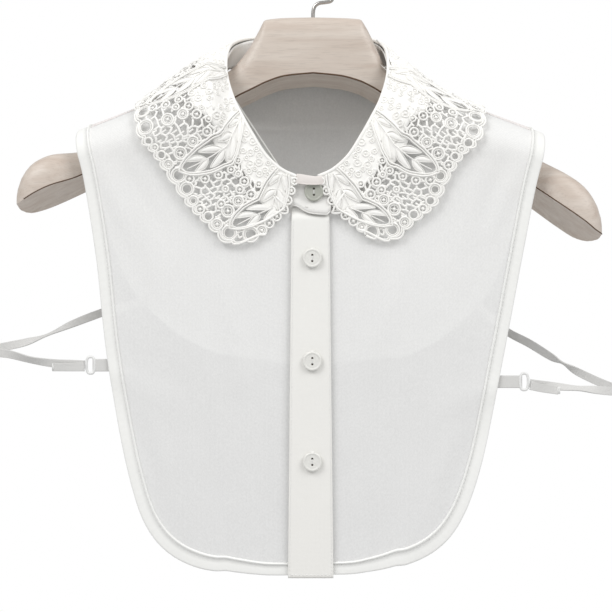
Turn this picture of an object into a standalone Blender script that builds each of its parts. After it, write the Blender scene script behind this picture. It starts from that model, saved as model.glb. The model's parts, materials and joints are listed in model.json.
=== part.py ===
"""Detachable blouse collar of sheer cloth and guipure lace, hanging on a wide wooden hanger.

Metres in Blender, millimetres in every table here. X runs to the viewer's right, Y away from the
viewer and Z up. The origin is the inner top of the hanger's hook, where a rail carries it.
"""

import math
from bisect import bisect_right
from collections import namedtuple

import bmesh
import bpy
import numpy as np
from mathutils import Matrix

MM = 0.001
GAP = 0.3

CENTRE_X = -2.0
NECK_X = -4.5
CLOTH_WALL = 1.0
LACE_WALL = 1.6
STAND_WALL = 1.2
BINDING_WALL = 0.8
BINDING_WIDTH = 9.0
PLACKET_WALL = 1.4
BUTTON_DIAMETER = 14.0
BUTTON_WALL = 2.4
STRAP_WIDTH = 6.0
STRAP_WALL = 1.0

# The cloth over the hanger, by distance from the centre line: the ridge it hangs from, then the
# front and back sheets and how far each drops before it hangs straight.
Shoulder = namedtuple("Shoulder", "reach ridge_y left_z right_z front_y front_drop back_y back_drop")
SHOULDER = [
    Shoulder(0, 25, -90.0, -90.0, -64.0, 40, 31, 15),
    Shoulder(35, 22, -92.5, -93.0, -64.0, 40, 30, 16),
    Shoulder(58, 10, -99.8, -101.5, -64.0, 42, 28, 18),
    Shoulder(67, -3, -105.6, -108.2, -64.0, 44, 26, 20),
    Shoulder(93, -8, -119.3, -121.8, -64.5, 40, 22, 17),
    Shoulder(124, -16, -132.0, -134.5, -65.0, 32, 14, 16),
    Shoulder(150, -22, -143.0, -145.0, -64.5, 26, 4, 14),
    Shoulder(168, -27, -150.5, -152.5, -63.0, 22, -4, 12),
]

# The cut edge of the front, from below the shoulder tip to the hem at the placket.
Edge = namedtuple("Edge", "x z")
FRONT_EDGE_LEFT = [
    Edge(-168.0, -158.0),
    Edge(-161.5, -187.0),
    Edge(-152.3, -244.0),
    Edge(-144.4, -315.0),
    Edge(-130.0, -393.0),
    Edge(-114.0, -436.5),
    Edge(-85.0, -459.0),
    Edge(-46.0, -464.5),
]
FRONT_EDGE_RIGHT = [
    Edge(164.0, -158.0),
    Edge(156.0, -193.0),
    Edge(146.0, -244.0),
    Edge(132.5, -315.0),
    Edge(116.8, -391.0),
    Edge(98.5, -435.0),
    Edge(70.0, -456.5),
    Edge(36.0, -463.5),
]
HEM_Z = -466.0
TIP_REACH = 166.0
# The back is shorter. Its edge is the same on both sides of the centre line.
BACK_EDGE = [
    Edge(163.0, -170.0),
    Edge(151.0, -220.0),
    Edge(140.0, -254.0),
    Edge(126.0, -277.0),
    Edge(96.5, -303.0),
    Edge(59.0, -316.5),
    Edge(26.0, -320.0),
]
BACK_HEM_Z = -320.5
# How much of the front's and the back's edge is their side, and how fast their rows of points
# spread on the way down from the shoulder, where the cloth turns.
FRONT_SIDE = 0.58
BACK_SIDE = 0.3
ROW_SPREAD = 1.7

# The neck, from the collar's front end to the centre back. half_x is counted from the neck's own
# middle, seam_x and edge_x from the centre line. A face of 1 is the front, 0 the ridge, -1 the back.
Neck = namedtuple(
    "Neck",
    "half_x fold_y fold_z seam_x seam_z seam_face left_x left_z right_x right_z edge_face",
)
NECK = [
    Neck(7.4, -67.6, -186.0, 7.0, -212.5, 1, -38.0, -228.5, 36.0, -225.5, 1),
    Neck(18.3, -67.8, -180.8, 23.0, -209.5, 1, -59.0, -234.5, 55.0, -232.3, 1),
    Neck(28.9, -67.0, -171.0, 37.5, -201.0, 1, -74.0, -221.5, 70.5, -219.5, 1),
    Neck(38.0, -65.0, -156.7, 49.0, -186.0, 1, -89.0, -206.5, 87.0, -205.5, 1),
    Neck(45.3, -61.5, -143.4, 58.0, -167.0, 1, -102.5, -186.5, 95.5, -187.5, 1),
    Neck(52.4, -53.5, -128.2, 64.5, -145.0, 1, -114.5, -169.0, 106.5, -171.0, 1),
    Neck(57.8, -37.0, -107.5, 67.5, -122.0, 1, -124.5, -153.5, 119.5, -155.5, 1),
    Neck(57.8, -9.0, -87.0, 67.0, 0.0, 0, -124.5, 0.0, 120.5, 0.0, 0),
    Neck(52.0, 12.0, -77.0, 60.0, 0.0, 0, -104.0, -133.0, 100.0, -134.5, -1),
    Neck(40.0, 22.5, -73.0, 44.0, 0.0, 0, -76.0, -138.0, 72.0, -139.0, -1),
    Neck(20.0, 28.6, -71.2, 22.0, 0.0, 0, -40.0, -141.0, 36.0, -141.0, -1),
    Neck(0.0, 30.2, -70.5, 0.0, 0.0, 0, -2.0, -141.5, -2.0, -141.5, -1),
]
# The fall of each neck row: the share of its width that covers the stand, where it meets the
# cloth (past is counted from the seam) and how high each one stands off the cloth there.
Drape = namedtuple("Drape", "seam_out land_x past left_roll right_roll")
DRAPE = [
    Drape(0.44, 17.0, -5.0, 0.3, 0.3),
    Drape(0.42, 25.0, 0.0, 0.3, 0.3),
    Drape(0.43, 37.5, 0.0, 0.4, 0.4),
    Drape(0.42, 49.0, 0.0, 0.8, 0.8),
    Drape(0.36, 58.0, 0.0, 1.8, 1.5),
    Drape(0.32, 64.5, 0.0, 5.0, 3.0),
    Drape(0.26, 67.5, 0.0, 10.0, 6.0),
    Drape(0.15, 67.0, 0.0, 15.0, 9.0),
    Drape(0.14, 60.0, -3.0, 15.0, 10.0),
    Drape(0.22, 44.0, -6.0, 9.0, 8.0),
    Drape(0.30, 22.0, -8.0, 5.0, 5.0),
    Drape(0.32, 0.0, -8.0, 4.0, 4.0),
]
# The left fall comes down onto its shoulder more slowly than the right one, in a slight arch.
FALL_POWER = {-1: 1.0, 1: 2.0}
FALL_ARCH = {-1: 0.18, 1: 0.0}
LACE_CLEAR = 1.9

# The stand: how far it lies behind the fall, how much further back its right end goes under its
# left one, and the two ends.
SEAM_GAP = 1.2
STAND_BACK = 2.3
STAND_UNDER_BACK = 1.9
STAND_UNDER_SHARE = 0.16
STAND_LEFT_END_X = 11.5
STAND_RIGHT_END_X = -10.0
STAND_OVER_Y = -65.6
STAND_UNDER_Y = -63.3
STAND_FOOT_Z = -212.2
STAND_TOP_Z = -187.6

# The lace, laid flat: its length along the middle of the fall and its width from fold to edge.
LACE_LENGTH = 250.0
LACE_WIDTH = 72.0
SCALLOPS = 29
SCALLOP_DEPTH = 2.4
LEAF_PITCH = 62.0
FIRST_LEAF = 12.0
LEAVES = 5
EDGE_LENGTH = 281.0
LEAF_HALF = 13.0

# Rows of gaps between the lace motifs, by how far out they lie and how big they are.
GapRow = namedtuple("GapRow", "out radius step keep_off")
GAP_ROWS = [
    GapRow(0.925, 2.4, 9.69, -20.0),
    GapRow(0.79, 2.7, 9.4, 2.0),
    GapRow(0.655, 2.3, 9.0, 2.5),
]
LEAST_BRIDGE = 1.4

# The hanger, by distance from its middle. Each arm has its own heights, because the bar hangs
# with its right end about three degrees low.
Arm = namedtuple(
    "Arm",
    "reach mid_y half left_top left_front left_back right_top right_front right_back",
)
HANGER = [
    Arm(0, 0, 19.0, -65.0, -106.5, -111.0, -65.0, -106.5, -111.0),
    Arm(20, 0, 19.0, -65.4, -108.5, -113.0, -65.4, -108.5, -113.0),
    Arm(35, 0, 19.0, -67.0, -113.5, -118.0, -66.4, -112.5, -117.0),
    Arm(39, 0, 19.0, -74.0, -115.5, -120.0, -71.5, -114.3, -119.0),
    Arm(46, 0, 19.0, -86.0, -119.0, -123.5, -84.5, -118.0, -123.0),
    Arm(53, 0, 19.0, -95.0, -122.5, -127.0, -98.5, -122.5, -127.5),
    Arm(60, 0, 19.0, -102.5, -126.5, -131.5, -107.2, -127.0, -132.5),
    Arm(80, -2, 19.5, -114.4, -136.0, -141.5, -118.6, -139.0, -144.0),
    Arm(100, -6, 20.5, -125.8, -146.5, -152.0, -129.0, -151.5, -157.5),
    Arm(120, -12, 21.5, -137.0, -157.5, -163.0, -141.0, -164.5, -171.5),
    Arm(145, -22, 22.5, -154.0, -173.0, -181.0, -158.5, -182.0, -190.5),
    Arm(165, -31, 23.5, -167.0, -185.5, -192.5, -173.5, -196.5, -206.0),
    Arm(183, -38, 23.0, -170.0, -192.0, -202.0, -184.0, -209.5, -220.0),
    Arm(195, -42, 19.5, -175.5, -198.0, -207.5, -193.0, -218.0, -228.0),
    Arm(202, -45, 14.5, -183.0, -202.3, -209.6, -202.0, -223.5, -230.0),
    Arm(206, -47, 9.0, -191.5, -204.3, -208.8, -211.0, -225.5, -229.5),
    Arm(207.5, -48, 4.0, -197.5, -204.6, -206.6, -217.5, -226.0, -228.0),
]
HANGER_SHIFT = -3.0
HANGER_ROUND = 2.6

HOOK_WIRE = 3.2
HOOK_RADIUS = 24.0
# The bend between the upright stem and the hook's arc, in the plane of the hook.
HOOK_BEND = [(0.0, -64.7), (0.0, -58.5), (1.2, -54.0), (4.6, -51.6), (9.5, -50.9), (14.0, -49.2)]
HOOK_ARC_FROM = -50.0
HOOK_ARC_TO = 215.0

BUTTON_HEIGHTS = [-243.3, -315.3, -385.5]
PLACKET_TOP_Z = -213.4
PLACKET_TOP_HALF = 13.4
PLACKET_HEM_HALF = 15.9
PLACKET_Y = -66.7

# Each strap loop: a ribbon sewn under the back's lower corner, out to a fold and back to a slider.
# turn is the ribbon's twist in degrees, 0 with its flat side to the viewer.
Strap = namedtuple("Strap", "x y z turn")
STRAP_LEFT = [
    Strap(-124.0, 13.3, -272.0, 0),
    Strap(-137.0, 2.0, -276.2, 0),
    Strap(-153.0, -14.0, -281.0, 5),
    Strap(-174.0, -27.0, -289.5, 40),
    Strap(-193.0, -31.0, -298.0, 80),
    Strap(-208.0, -33.0, -303.0, 30),
    Strap(-221.0, -35.0, -305.8, 5),
    Strap(-231.5, -38.5, -307.8, 0),
    Strap(-234.5, -43.0, -309.2, 0),
    Strap(-230.0, -47.5, -309.8, 0),
    Strap(-216.5, -49.5, -311.0, 10),
    Strap(-200.0, -52.5, -315.0, 35),
    Strap(-184.0, -56.5, -317.2, 10),
    Strap(-170.0, -61.2, -317.6, 0),
    Strap(-160.6, -63.3, -318.0, 0),
]
STRAP_RIGHT = [
    Strap(121.0, 12.0, -274.0, 0),
    Strap(132.0, 1.0, -285.5, 0),
    Strap(143.0, -14.0, -296.0, 5),
    Strap(157.5, -24.0, -304.2, 0),
    Strap(172.0, -29.0, -313.5, 25),
    Strap(180.5, -32.0, -318.2, 75),
    Strap(191.0, -34.0, -324.5, 20),
    Strap(205.0, -36.0, -331.2, 5),
    Strap(217.0, -38.5, -336.0, 0),
    Strap(222.0, -43.0, -338.0, 0),
    Strap(216.0, -47.5, -337.9, 0),
    Strap(203.0, -50.0, -336.6, 15),
    Strap(188.0, -53.0, -335.2, 60),
    Strap(172.0, -57.0, -333.6, 30),
    Strap(160.0, -61.4, -332.2, 0),
    Strap(151.9, -63.3, -331.0, 0),
]
SLIDER_LEFT = (-156.4, -63.3, -318.3)
SLIDER_RIGHT = (147.7, -63.3, -329.9)
SLIDER_SIZE = (5.6, 11.6)
SLIDER_WIRE = 1.9
# The tabs run from the ring to here, behind the front's edge, where they are sewn down.
TAB_END_LEFT = -125.0
TAB_END_RIGHT = 112.0

COLOURS = {
    "cloth": (0.86, 0.86, 0.84, 1.0),
    "lace": (0.90, 0.89, 0.85, 1.0),
    "binding": (0.84, 0.84, 0.82, 1.0),
    "wood": (0.66, 0.58, 0.50, 1.0),
    "steel": (0.62, 0.60, 0.58, 1.0),
    "button": (0.80, 0.80, 0.78, 1.0),
    "ribbon": (0.66, 0.65, 0.64, 1.0),
    "plastic": (0.80, 0.80, 0.79, 1.0),
}


def clear_scene():
    for obj in list(bpy.data.objects):
        bpy.data.objects.remove(obj, do_unlink=True)


def collection(name, shown=True):
    made = bpy.data.collections.new(name)
    bpy.context.scene.collection.children.link(made)
    made.hide_render = not shown
    return made


def material(name, roughness=0.8, metallic=0.0):
    made = bpy.data.materials.new(name)
    made.use_nodes = True
    shader = made.node_tree.nodes["Principled BSDF"]
    shader.inputs["Base Color"].default_value = COLOURS[name]
    shader.inputs["Roughness"].default_value = roughness
    shader.inputs["Metallic"].default_value = metallic
    return made


def smooth(keys, values, at):
    """The value at `at` of a smooth curve through the rows that doesn't overshoot them."""
    steps = [(values[i + 1] - values[i]) / (keys[i + 1] - keys[i]) for i in range(len(keys) - 1)]

    def slope(i):
        if i == 0 or i == len(keys) - 1:
            return steps[min(i, len(steps) - 1)]
        before, after = steps[i - 1], steps[i]
        return 0.0 if before * after <= 0 else 2 * before * after / (before + after)

    i = min(max(bisect_right(keys, at) - 1, 0), len(keys) - 2)
    span = keys[i + 1] - keys[i]
    f = min(max((at - keys[i]) / span, 0.0), 1.0)
    start, end = values[i], values[i + 1]
    lean_in, lean_out = slope(i) * span, slope(i + 1) * span
    return (
        (2 * f**3 - 3 * f**2 + 1) * start
        + (f**3 - 2 * f**2 + f) * lean_in
        + (3 * f**2 - 2 * f**3) * end
        + (f**3 - f**2) * lean_out
    )


def row_at(rows, at):
    """A row of a table, read between its rows by its first column."""
    keys = [row[0] for row in rows]
    columns = list(zip(*rows))
    return type(rows[0])(*[smooth(keys, column, at) for column in columns])


def curve_through(points, shares):
    """Points on a smooth curve through `points`, at these shares of its length, or shares + 1
    evenly spaced ones where it is a number."""
    rows = np.array(points, float)
    rows = np.vstack([2 * rows[0] - rows[1], rows, 2 * rows[-1] - rows[-2]])
    fine = []
    for i in range(1, len(rows) - 2):
        a, b, c, d = rows[i - 1 : i + 3]
        for f in np.linspace(0, 1, 24, endpoint=False):
            fine.append(
                0.5
                * (2 * b + (c - a) * f + (2 * a - 5 * b + 4 * c - d) * f**2 + (3 * b - a - 3 * c + d) * f**3)
            )
    fine.append(rows[-2])
    fine = np.array(fine)
    length = np.concatenate([[0], np.cumsum(np.linalg.norm(np.diff(fine, axis=0), axis=1))])
    at = length[-1] * (np.linspace(0, 1, shares + 1) if isinstance(shares, int) else shares)
    return np.stack([np.interp(at, length, column) for column in fine.T], axis=1)


def read_every_millimetre(rows):
    return np.array([row_at(rows, reach) for reach in range(int(rows[-1].reach) + 1)])


SHOULDER_FINE = read_every_millimetre(SHOULDER)


def shoulder_at(x):
    reach = min(abs(x - CENTRE_X), SHOULDER[-1].reach - 1e-6)
    i = int(reach)
    row = Shoulder(*(SHOULDER_FINE[i] + (SHOULDER_FINE[i + 1] - SHOULDER_FINE[i]) * (reach - i)))
    return row, (row.left_z if x < CENTRE_X else row.right_z)


def turn_of(row, down):
    """How far the front (down > 0) or back sheet runs out and drops in its turn off the ridge."""
    if down > 0:
        return row.front_y - row.ridge_y, row.front_drop
    return row.back_y - row.ridge_y, row.back_drop


def cloth_point(x, w):
    """The cloth's middle surface at x. w is the drop below the ridge, negative on the back, and
    in the turn, a quarter of an ellipse, it is the angle's share of the turn's drop."""
    row, ridge_z = shoulder_at(x)
    run, drop = turn_of(row, w)
    if abs(w) < drop:
        angle = abs(w) / drop * math.pi / 2
        return np.array([x, row.ridge_y + run * math.sin(angle), ridge_z - drop * (1 - math.cos(angle))])
    return np.array([x, row.ridge_y + run, ridge_z - abs(w)])


def cloth_w(x, z, face):
    """The w of the point on the front (1), the ridge (0) or the back (-1) at this height."""
    row, ridge_z = shoulder_at(x)
    run, drop = turn_of(row, face)
    below = max(ridge_z - z, 0.0)
    if below < drop:
        below = drop * math.acos(1 - below / drop) / (math.pi / 2)
    return face * below


def cloth_normal(x, w):
    step = 0.5
    across = cloth_point(x + step, w) - cloth_point(x - step, w)
    # The ridge is one line of cloth, so the step down stays on the point's own side of it.
    if w >= 0:
        down = cloth_point(x, w + step) - cloth_point(x, max(w - step, 1e-6))
    else:
        down = cloth_point(x, min(w + step, -1e-6)) - cloth_point(x, w - step)
    normal = np.cross(across, down)
    normal /= np.linalg.norm(normal)
    return normal if w >= 0 or normal[1] > 0 else -normal


def offset_point(x, w, out):
    normal = cloth_normal(x, w)
    if (w >= 0 and normal[1] > 0) or (w < 0 and normal[1] < 0):
        normal = -normal
    return cloth_point(x, w) + normal * out


def new_object(name, vertices, faces, kind, where):
    mesh = bpy.data.meshes.new(name)
    mesh.from_pydata([tuple(float(c) * MM for c in v) for v in vertices], [], faces)
    mesh.materials.append(kind)
    made = bpy.data.objects.new(name, mesh)
    where.objects.link(made)
    fix = bmesh.new()
    fix.from_mesh(mesh)
    bmesh.ops.recalc_face_normals(fix, faces=fix.faces)
    fix.to_mesh(mesh)
    fix.free()
    mesh.shade_smooth()
    return made


def shell(name, vertices, faces, wall, kind, where):
    """An open surface given a wall, half to each side."""
    made = new_object(name, vertices, faces, kind, where)
    skin = made.modifiers.new("wall", "SOLIDIFY")
    skin.thickness = wall * MM
    skin.offset = 0
    return made


def grid_faces(rows, columns):
    return [
        (r * columns + c, r * columns + c + 1, (r + 1) * columns + c + 1, (r + 1) * columns + c)
        for r in range(rows - 1)
        for c in range(columns - 1)
    ]


def strip_faces(first, second):
    """Quads between two rows of vertex numbers."""
    return [(first[i], first[i + 1], second[i + 1], second[i]) for i in range(len(first) - 1)]


def inset(outline, width):
    """The flat outline moved inwards; its ends slide along the lines that they lie on."""
    lean = np.gradient(outline, axis=0)
    lean /= np.linalg.norm(lean, axis=1)[:, None]
    normal = np.stack([-lean[:, 1], lean[:, 0]], axis=1)
    middle = outline.mean(axis=0)
    if ((middle - outline) * normal).sum() < 0:
        normal = -normal
    moved = outline + normal * width
    moved[0, 1] = outline[0, 1]
    moved[-1, 0] = outline[-1, 0]
    return moved


def spread(count):
    """Shares from 0 to 1 that lie closer together near 0."""
    return np.linspace(0, 1, count + 1) ** ROW_SPREAD


def coons(top, bottom, inner, outer):
    """A grid between four flat curves; inner and outer run from the top to the bottom."""
    u = np.linspace(0, 1, len(top))[None, :, None]
    v = spread(len(inner) - 1)[:, None, None]
    ruled_v = (1 - v) * top[None] + v * bottom[None]
    ruled_u = (1 - u) * inner[:, None] + u * outer[:, None]
    corners = (
        (1 - u) * (1 - v) * top[0] + u * (1 - v) * top[-1] + (1 - u) * v * bottom[0] + u * v * bottom[-1]
    )
    return ruled_v + ruled_u - corners


def seam_point(row, side):
    x = CENTRE_X + side * row.seam_x
    return np.array([x, cloth_w(x, row.seam_z, row.seam_face)])


def front_flat(side):
    """The front's flat points: its inner grid and its outline, in cloth coordinates."""
    across, down = 15, 13
    edge = FRONT_EDGE_LEFT if side < 0 else FRONT_EDGE_RIGHT
    inner_x = CENTRE_X - 8.0 + (GAP if side > 0 else -GAP)
    outline = [(CENTRE_X + side * TIP_REACH, 0.0)] + [(p.x, cloth_w(p.x, p.z, 1)) for p in edge]
    outline.append((inner_x, cloth_w(inner_x, HEM_Z, 1)))
    shares = np.append(spread(down) * FRONT_SIDE, np.linspace(FRONT_SIDE, 1, across + 1)[1:])
    outline = curve_through(outline, shares)
    outline[0, 1] = GAP
    inside = inset(outline, BINDING_WIDTH)
    neck = [seam_point(row, side) for row in NECK if row.seam_face == 1]
    neck = [np.array([inner_x, neck[0][1] + 0.6])] + neck[1 if side < 0 else 0 :]
    neck.append(np.array([CENTRE_X + side * (NECK[7].seam_x + 1.0), GAP]))
    neck_steps = 8
    neckline = curve_through(neck, neck_steps)
    ridge = np.linspace(neckline[-1], inside[0], across - neck_steps + 1)[1:]
    top = np.vstack([neckline, ridge])
    inner = top[0] + (inside[-1] - top[0]) * spread(down)[:, None]
    grid = coons(top, inside[down:][::-1], inner, inside[: down + 1])
    return grid, inside, outline


def mesh_of_flat(grid, inside, outline, place):
    """Vertices and faces of a panel and of the strip along its edge, and the strip alone."""
    rows, columns = grid.shape[:2]
    vertices = [place(x, w) for x, w in grid.reshape(-1, 2)]
    faces = grid_faces(rows, columns)
    rim = [len(vertices) + i for i in range(len(outline))]
    vertices += [place(x, w) for x, w in outline]
    return vertices, faces, rim


def make_front(name, side, kinds, where):
    grid, inside, outline = front_flat(side)
    vertices, faces, rim = mesh_of_flat(grid, inside, outline, cloth_point)
    rows, columns = grid.shape[:2]
    side_rim = [r * columns + columns - 1 for r in range(rows)]
    hem_rim = [(rows - 1) * columns + c for c in range(columns - 2, -1, -1)]
    faces += strip_faces(side_rim + hem_rim, rim)
    shell(name, vertices, faces, CLOTH_WALL, kinds["cloth"], where)
    out = CLOTH_WALL / 2 + GAP + BINDING_WALL / 2 + 0.1
    make_binding(f"binding_{name}", inside, outline, out, kinds, where)


def make_binding(name, inside, outline, out, kinds, where):
    """The edge band, from the panel's own edge points moved outwards."""
    strip = [offset_point(x, w, out) for x, w in np.vstack([inside, outline])]
    count = len(inside)
    faces = strip_faces(list(range(count)), list(range(count, 2 * count)))
    shell(name, strip, faces, BINDING_WALL, kinds["binding"], where)


def make_back(kinds, where):
    across, down = 22, 10
    half = [(TIP_REACH, 0.0)] + [(p.x, cloth_w(CENTRE_X + p.x, p.z, -1)) for p in BACK_EDGE]
    low = (0.0, cloth_w(CENTRE_X, BACK_HEM_Z, -1))
    path = [(CENTRE_X - x, w) for x, w in half] + [(CENTRE_X, low[1])]
    path += [(CENTRE_X + x, w) for x, w in reversed(half)]
    side = spread(down) * BACK_SIDE
    hem = np.linspace(BACK_SIDE, 1 - BACK_SIDE, across + 1)[1:-1]
    outline = curve_through(path, np.concatenate([side, hem, 1 - side[::-1]]))
    outline[0, 1] = outline[-1, 1] = -GAP
    inside = inset(outline, BINDING_WIDTH)
    inside[-1] = (2 * CENTRE_X - inside[0, 0], -GAP)
    line = np.linspace(inside[0, 0], inside[-1, 0], across + 1)
    top = np.stack([line, np.full(across + 1, -GAP)], axis=1)
    grid = coons(top, inside[down : down + across + 1], inside[: down + 1], inside[down + across :][::-1])
    vertices, faces, rim = mesh_of_flat(grid, inside, outline, cloth_point)
    rows, columns = grid.shape[:2]
    around = [r * columns for r in range(rows)]
    around += [(rows - 1) * columns + c for c in range(1, columns)]
    around += [r * columns + columns - 1 for r in range(rows - 2, -1, -1)]
    faces += strip_faces(around, rim)
    shell("back_panel", vertices, faces, CLOTH_WALL, kinds["cloth"], where)
    out = CLOTH_WALL / 2 + GAP + BINDING_WALL / 2 + 0.3
    make_binding("binding_back", inside, outline, out, kinds, where)


def fold_point(row, side):
    return np.array([NECK_X + side * row.half_x, row.fold_y, row.fold_z])


def foot_point(row, side):
    """The stand's foot, a gap away from the panels' cut edge."""
    x, w = seam_point(row, side)
    if row.seam_face == 0:
        return cloth_point(x, w) + np.array([0, 0, SEAM_GAP])
    inward = np.array([NECK_X - x, cloth_w(x, -150.0, 1) - w])
    return cloth_point(*(np.array([x, w]) + inward / np.linalg.norm(inward) * SEAM_GAP))


class Fall:
    """The collar's fall: a point for each share along the neck and share of its width."""

    def __init__(self, side):
        """Reads the tables into one row for each step along the neck."""
        self.side = side
        rows = []
        for row, drape in zip(NECK, DRAPE):
            seam = seam_point(row, side)
            x, z = (row.left_x, row.left_z) if side < 0 else (row.right_x, row.right_z)
            roll = drape.left_roll if side < 0 else drape.right_roll
            landing = (CENTRE_X + side * drape.land_x, seam[1] + drape.past)
            edge = (x, cloth_w(x, z, row.edge_face))
            shape = (drape.seam_out * 50, roll)
            rows.append([*fold_point(row, side), *landing, *edge, *shape, *foot_point(row, side)])
        self.table = curve_through(rows, 96)
        self.share = np.linspace(0, 1, 97)

    def point(self, share, out):
        row = np.array([np.interp(share, self.share, column) for column in self.table.T])
        fold, landing, edge, seam_out, roll = row[:3], row[3:5], row[5:7], row[7] / 50, row[8]
        clear = CLOTH_WALL / 2 + LACE_WALL / 2 + LACE_CLEAR
        if out < seam_out:
            over = offset_point(*landing, clear + roll)
            return fold + (over - fold) * out / seam_out
        t = (out - seam_out) / (1 - seam_out)
        x, w = landing + (edge - landing) * t
        left = max(1 - t, 0.0)
        lift = left ** FALL_POWER[self.side] + FALL_ARCH[self.side] * math.sin(math.pi * (1 - left))
        return offset_point(x, w, clear + roll * lift)

    def frame(self, share, out):
        """The outward unit normal, and the real millimetres for each flat one, along and out."""
        step = 0.004
        along = self.point(min(share + step, 1), out) - self.point(max(share - step, 0), out)
        along /= (min(share + step, 1) - max(share - step, 0)) * LACE_LENGTH
        away = (self.point(share, out + step) - self.point(share, out - step)) / (2 * step * LACE_WIDTH)
        normal = np.cross(along, away)
        normal /= np.linalg.norm(normal)
        if self.side > 0:
            normal = -normal
        return normal, float(np.linalg.norm(along)), float(np.linalg.norm(away))


def leaf_shares():
    return [(FIRST_LEAF + LEAF_PITCH * i) / EDGE_LENGTH for i in range(LEAVES)]


def lace_gaps(fall):
    """(share, out, radius) of each gap between the motifs that is cut through."""
    gaps = []
    for row in GAP_ROWS:
        at = 4.6
        while at < EDGE_LENGTH - 4.0:
            share = at / EDGE_LENGTH
            _, along, _ = fall.frame(share, row.out)
            nearest = min(abs(share - leaf) for leaf in leaf_shares()) * LACE_LENGTH * along
            bulge = LEAF_HALF * math.sin(math.pi * min(row.out, 0.97)) ** 0.5
            edge_room = min(share, 1 - share) * LACE_LENGTH * along
            place = fall.point(share, row.out)
            apart = all(
                np.linalg.norm(place - other) > row.radius + radius + LEAST_BRIDGE
                for _, _, radius, other in gaps
            )
            if apart and nearest > bulge + row.keep_off and edge_room > 5.0:
                gaps.append((share, row.out, row.radius, place))
            at += row.step
    return gaps


def flat_prism(centre, radii, sides, turn=0.0):
    """Corner points of a flat polygon, in the lace's flat coordinates."""
    angles = turn + np.arange(sides) / sides * 2 * math.pi
    return [(centre[0] + radii[0] * math.cos(a), centre[1] + radii[1] * math.sin(a)) for a in angles]


def prism_object(name, outlines, height, where, kind):
    """Upright prisms of this height on the flat outlines, one body for each."""
    made = bmesh.new()
    for outline in outlines:
        floor = [made.verts.new((x * MM, y * MM, -height / 2 * MM)) for x, y in outline]
        roof = [made.verts.new((x * MM, y * MM, height / 2 * MM)) for x, y in outline]
        made.faces.new(floor)
        made.faces.new(roof)
        count = len(outline)
        for i in range(count):
            made.faces.new((floor[i], floor[(i + 1) % count], roof[(i + 1) % count], roof[i]))
    bmesh.ops.recalc_face_normals(made, faces=made.faces)
    mesh = bpy.data.meshes.new(name)
    made.to_mesh(mesh)
    made.free()
    mesh.materials.append(kind)
    result = bpy.data.objects.new(name, mesh)
    where.objects.link(result)
    return result


def scalloped_outline():
    """The lace's flat outline: straight at the fold and ends, arcs along the outer edge."""
    margin = 0.4
    points = [(margin, 0.0), (LACE_LENGTH - margin, 0.0)]
    steps = 3
    pitch = (LACE_LENGTH - 2 * margin) / SCALLOPS
    for i in range(SCALLOPS, 0, -1):
        for k in range(steps):
            f = k / steps
            rise = SCALLOP_DEPTH * math.sin(math.pi * f) ** 0.7
            points.append((margin + (i - f) * pitch, LACE_WIDTH - SCALLOP_DEPTH / 2 + rise))
    points.append((margin, LACE_WIDTH - SCALLOP_DEPTH / 2))
    return points


def flat_slab(name, kind, where):
    """The uncut lace, laid flat, as a closed slab of small cells."""
    along, away = 32, 8
    over = SCALLOP_DEPTH
    xs = np.linspace(-1.0, LACE_LENGTH + 1.0, along + 1)
    ys = np.linspace(-1.0, LACE_WIDTH + over, away + 1)
    made = bmesh.new()
    layers = []
    for z in (-LACE_WALL / 2, LACE_WALL / 2):
        layers.append([[made.verts.new((x * MM, y * MM, z * MM)) for x in xs] for y in ys])
    for layer in layers:
        for r in range(away):
            for c in range(along):
                made.faces.new((layer[r][c], layer[r][c + 1], layer[r + 1][c + 1], layer[r + 1][c]))
    low, high = layers
    rim = [(0, c) for c in range(along)] + [(r, along) for r in range(away)]
    rim += [(away, c) for c in range(along, 0, -1)] + [(r, 0) for r in range(away, 0, -1)]
    for i, (r, c) in enumerate(rim):
        s, d = rim[(i + 1) % len(rim)]
        made.faces.new((low[r][c], low[s][d], high[s][d], high[r][c]))
    bmesh.ops.recalc_face_normals(made, faces=made.faces)
    mesh = bpy.data.meshes.new(name)
    made.to_mesh(mesh)
    made.free()
    mesh.materials.append(kind)
    result = bpy.data.objects.new(name, mesh)
    where.objects.link(result)
    return result


def cut(target, cutter, operation, label):
    change = target.modifiers.new(label, "BOOLEAN")
    change.object = cutter
    change.operation = operation
    cutter.hide_render = True
    cutter.display_type = "WIRE"


def applied_mesh(obj):
    graph = bpy.context.evaluated_depsgraph_get()
    return bpy.data.meshes.new_from_object(obj.evaluated_get(graph))


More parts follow.
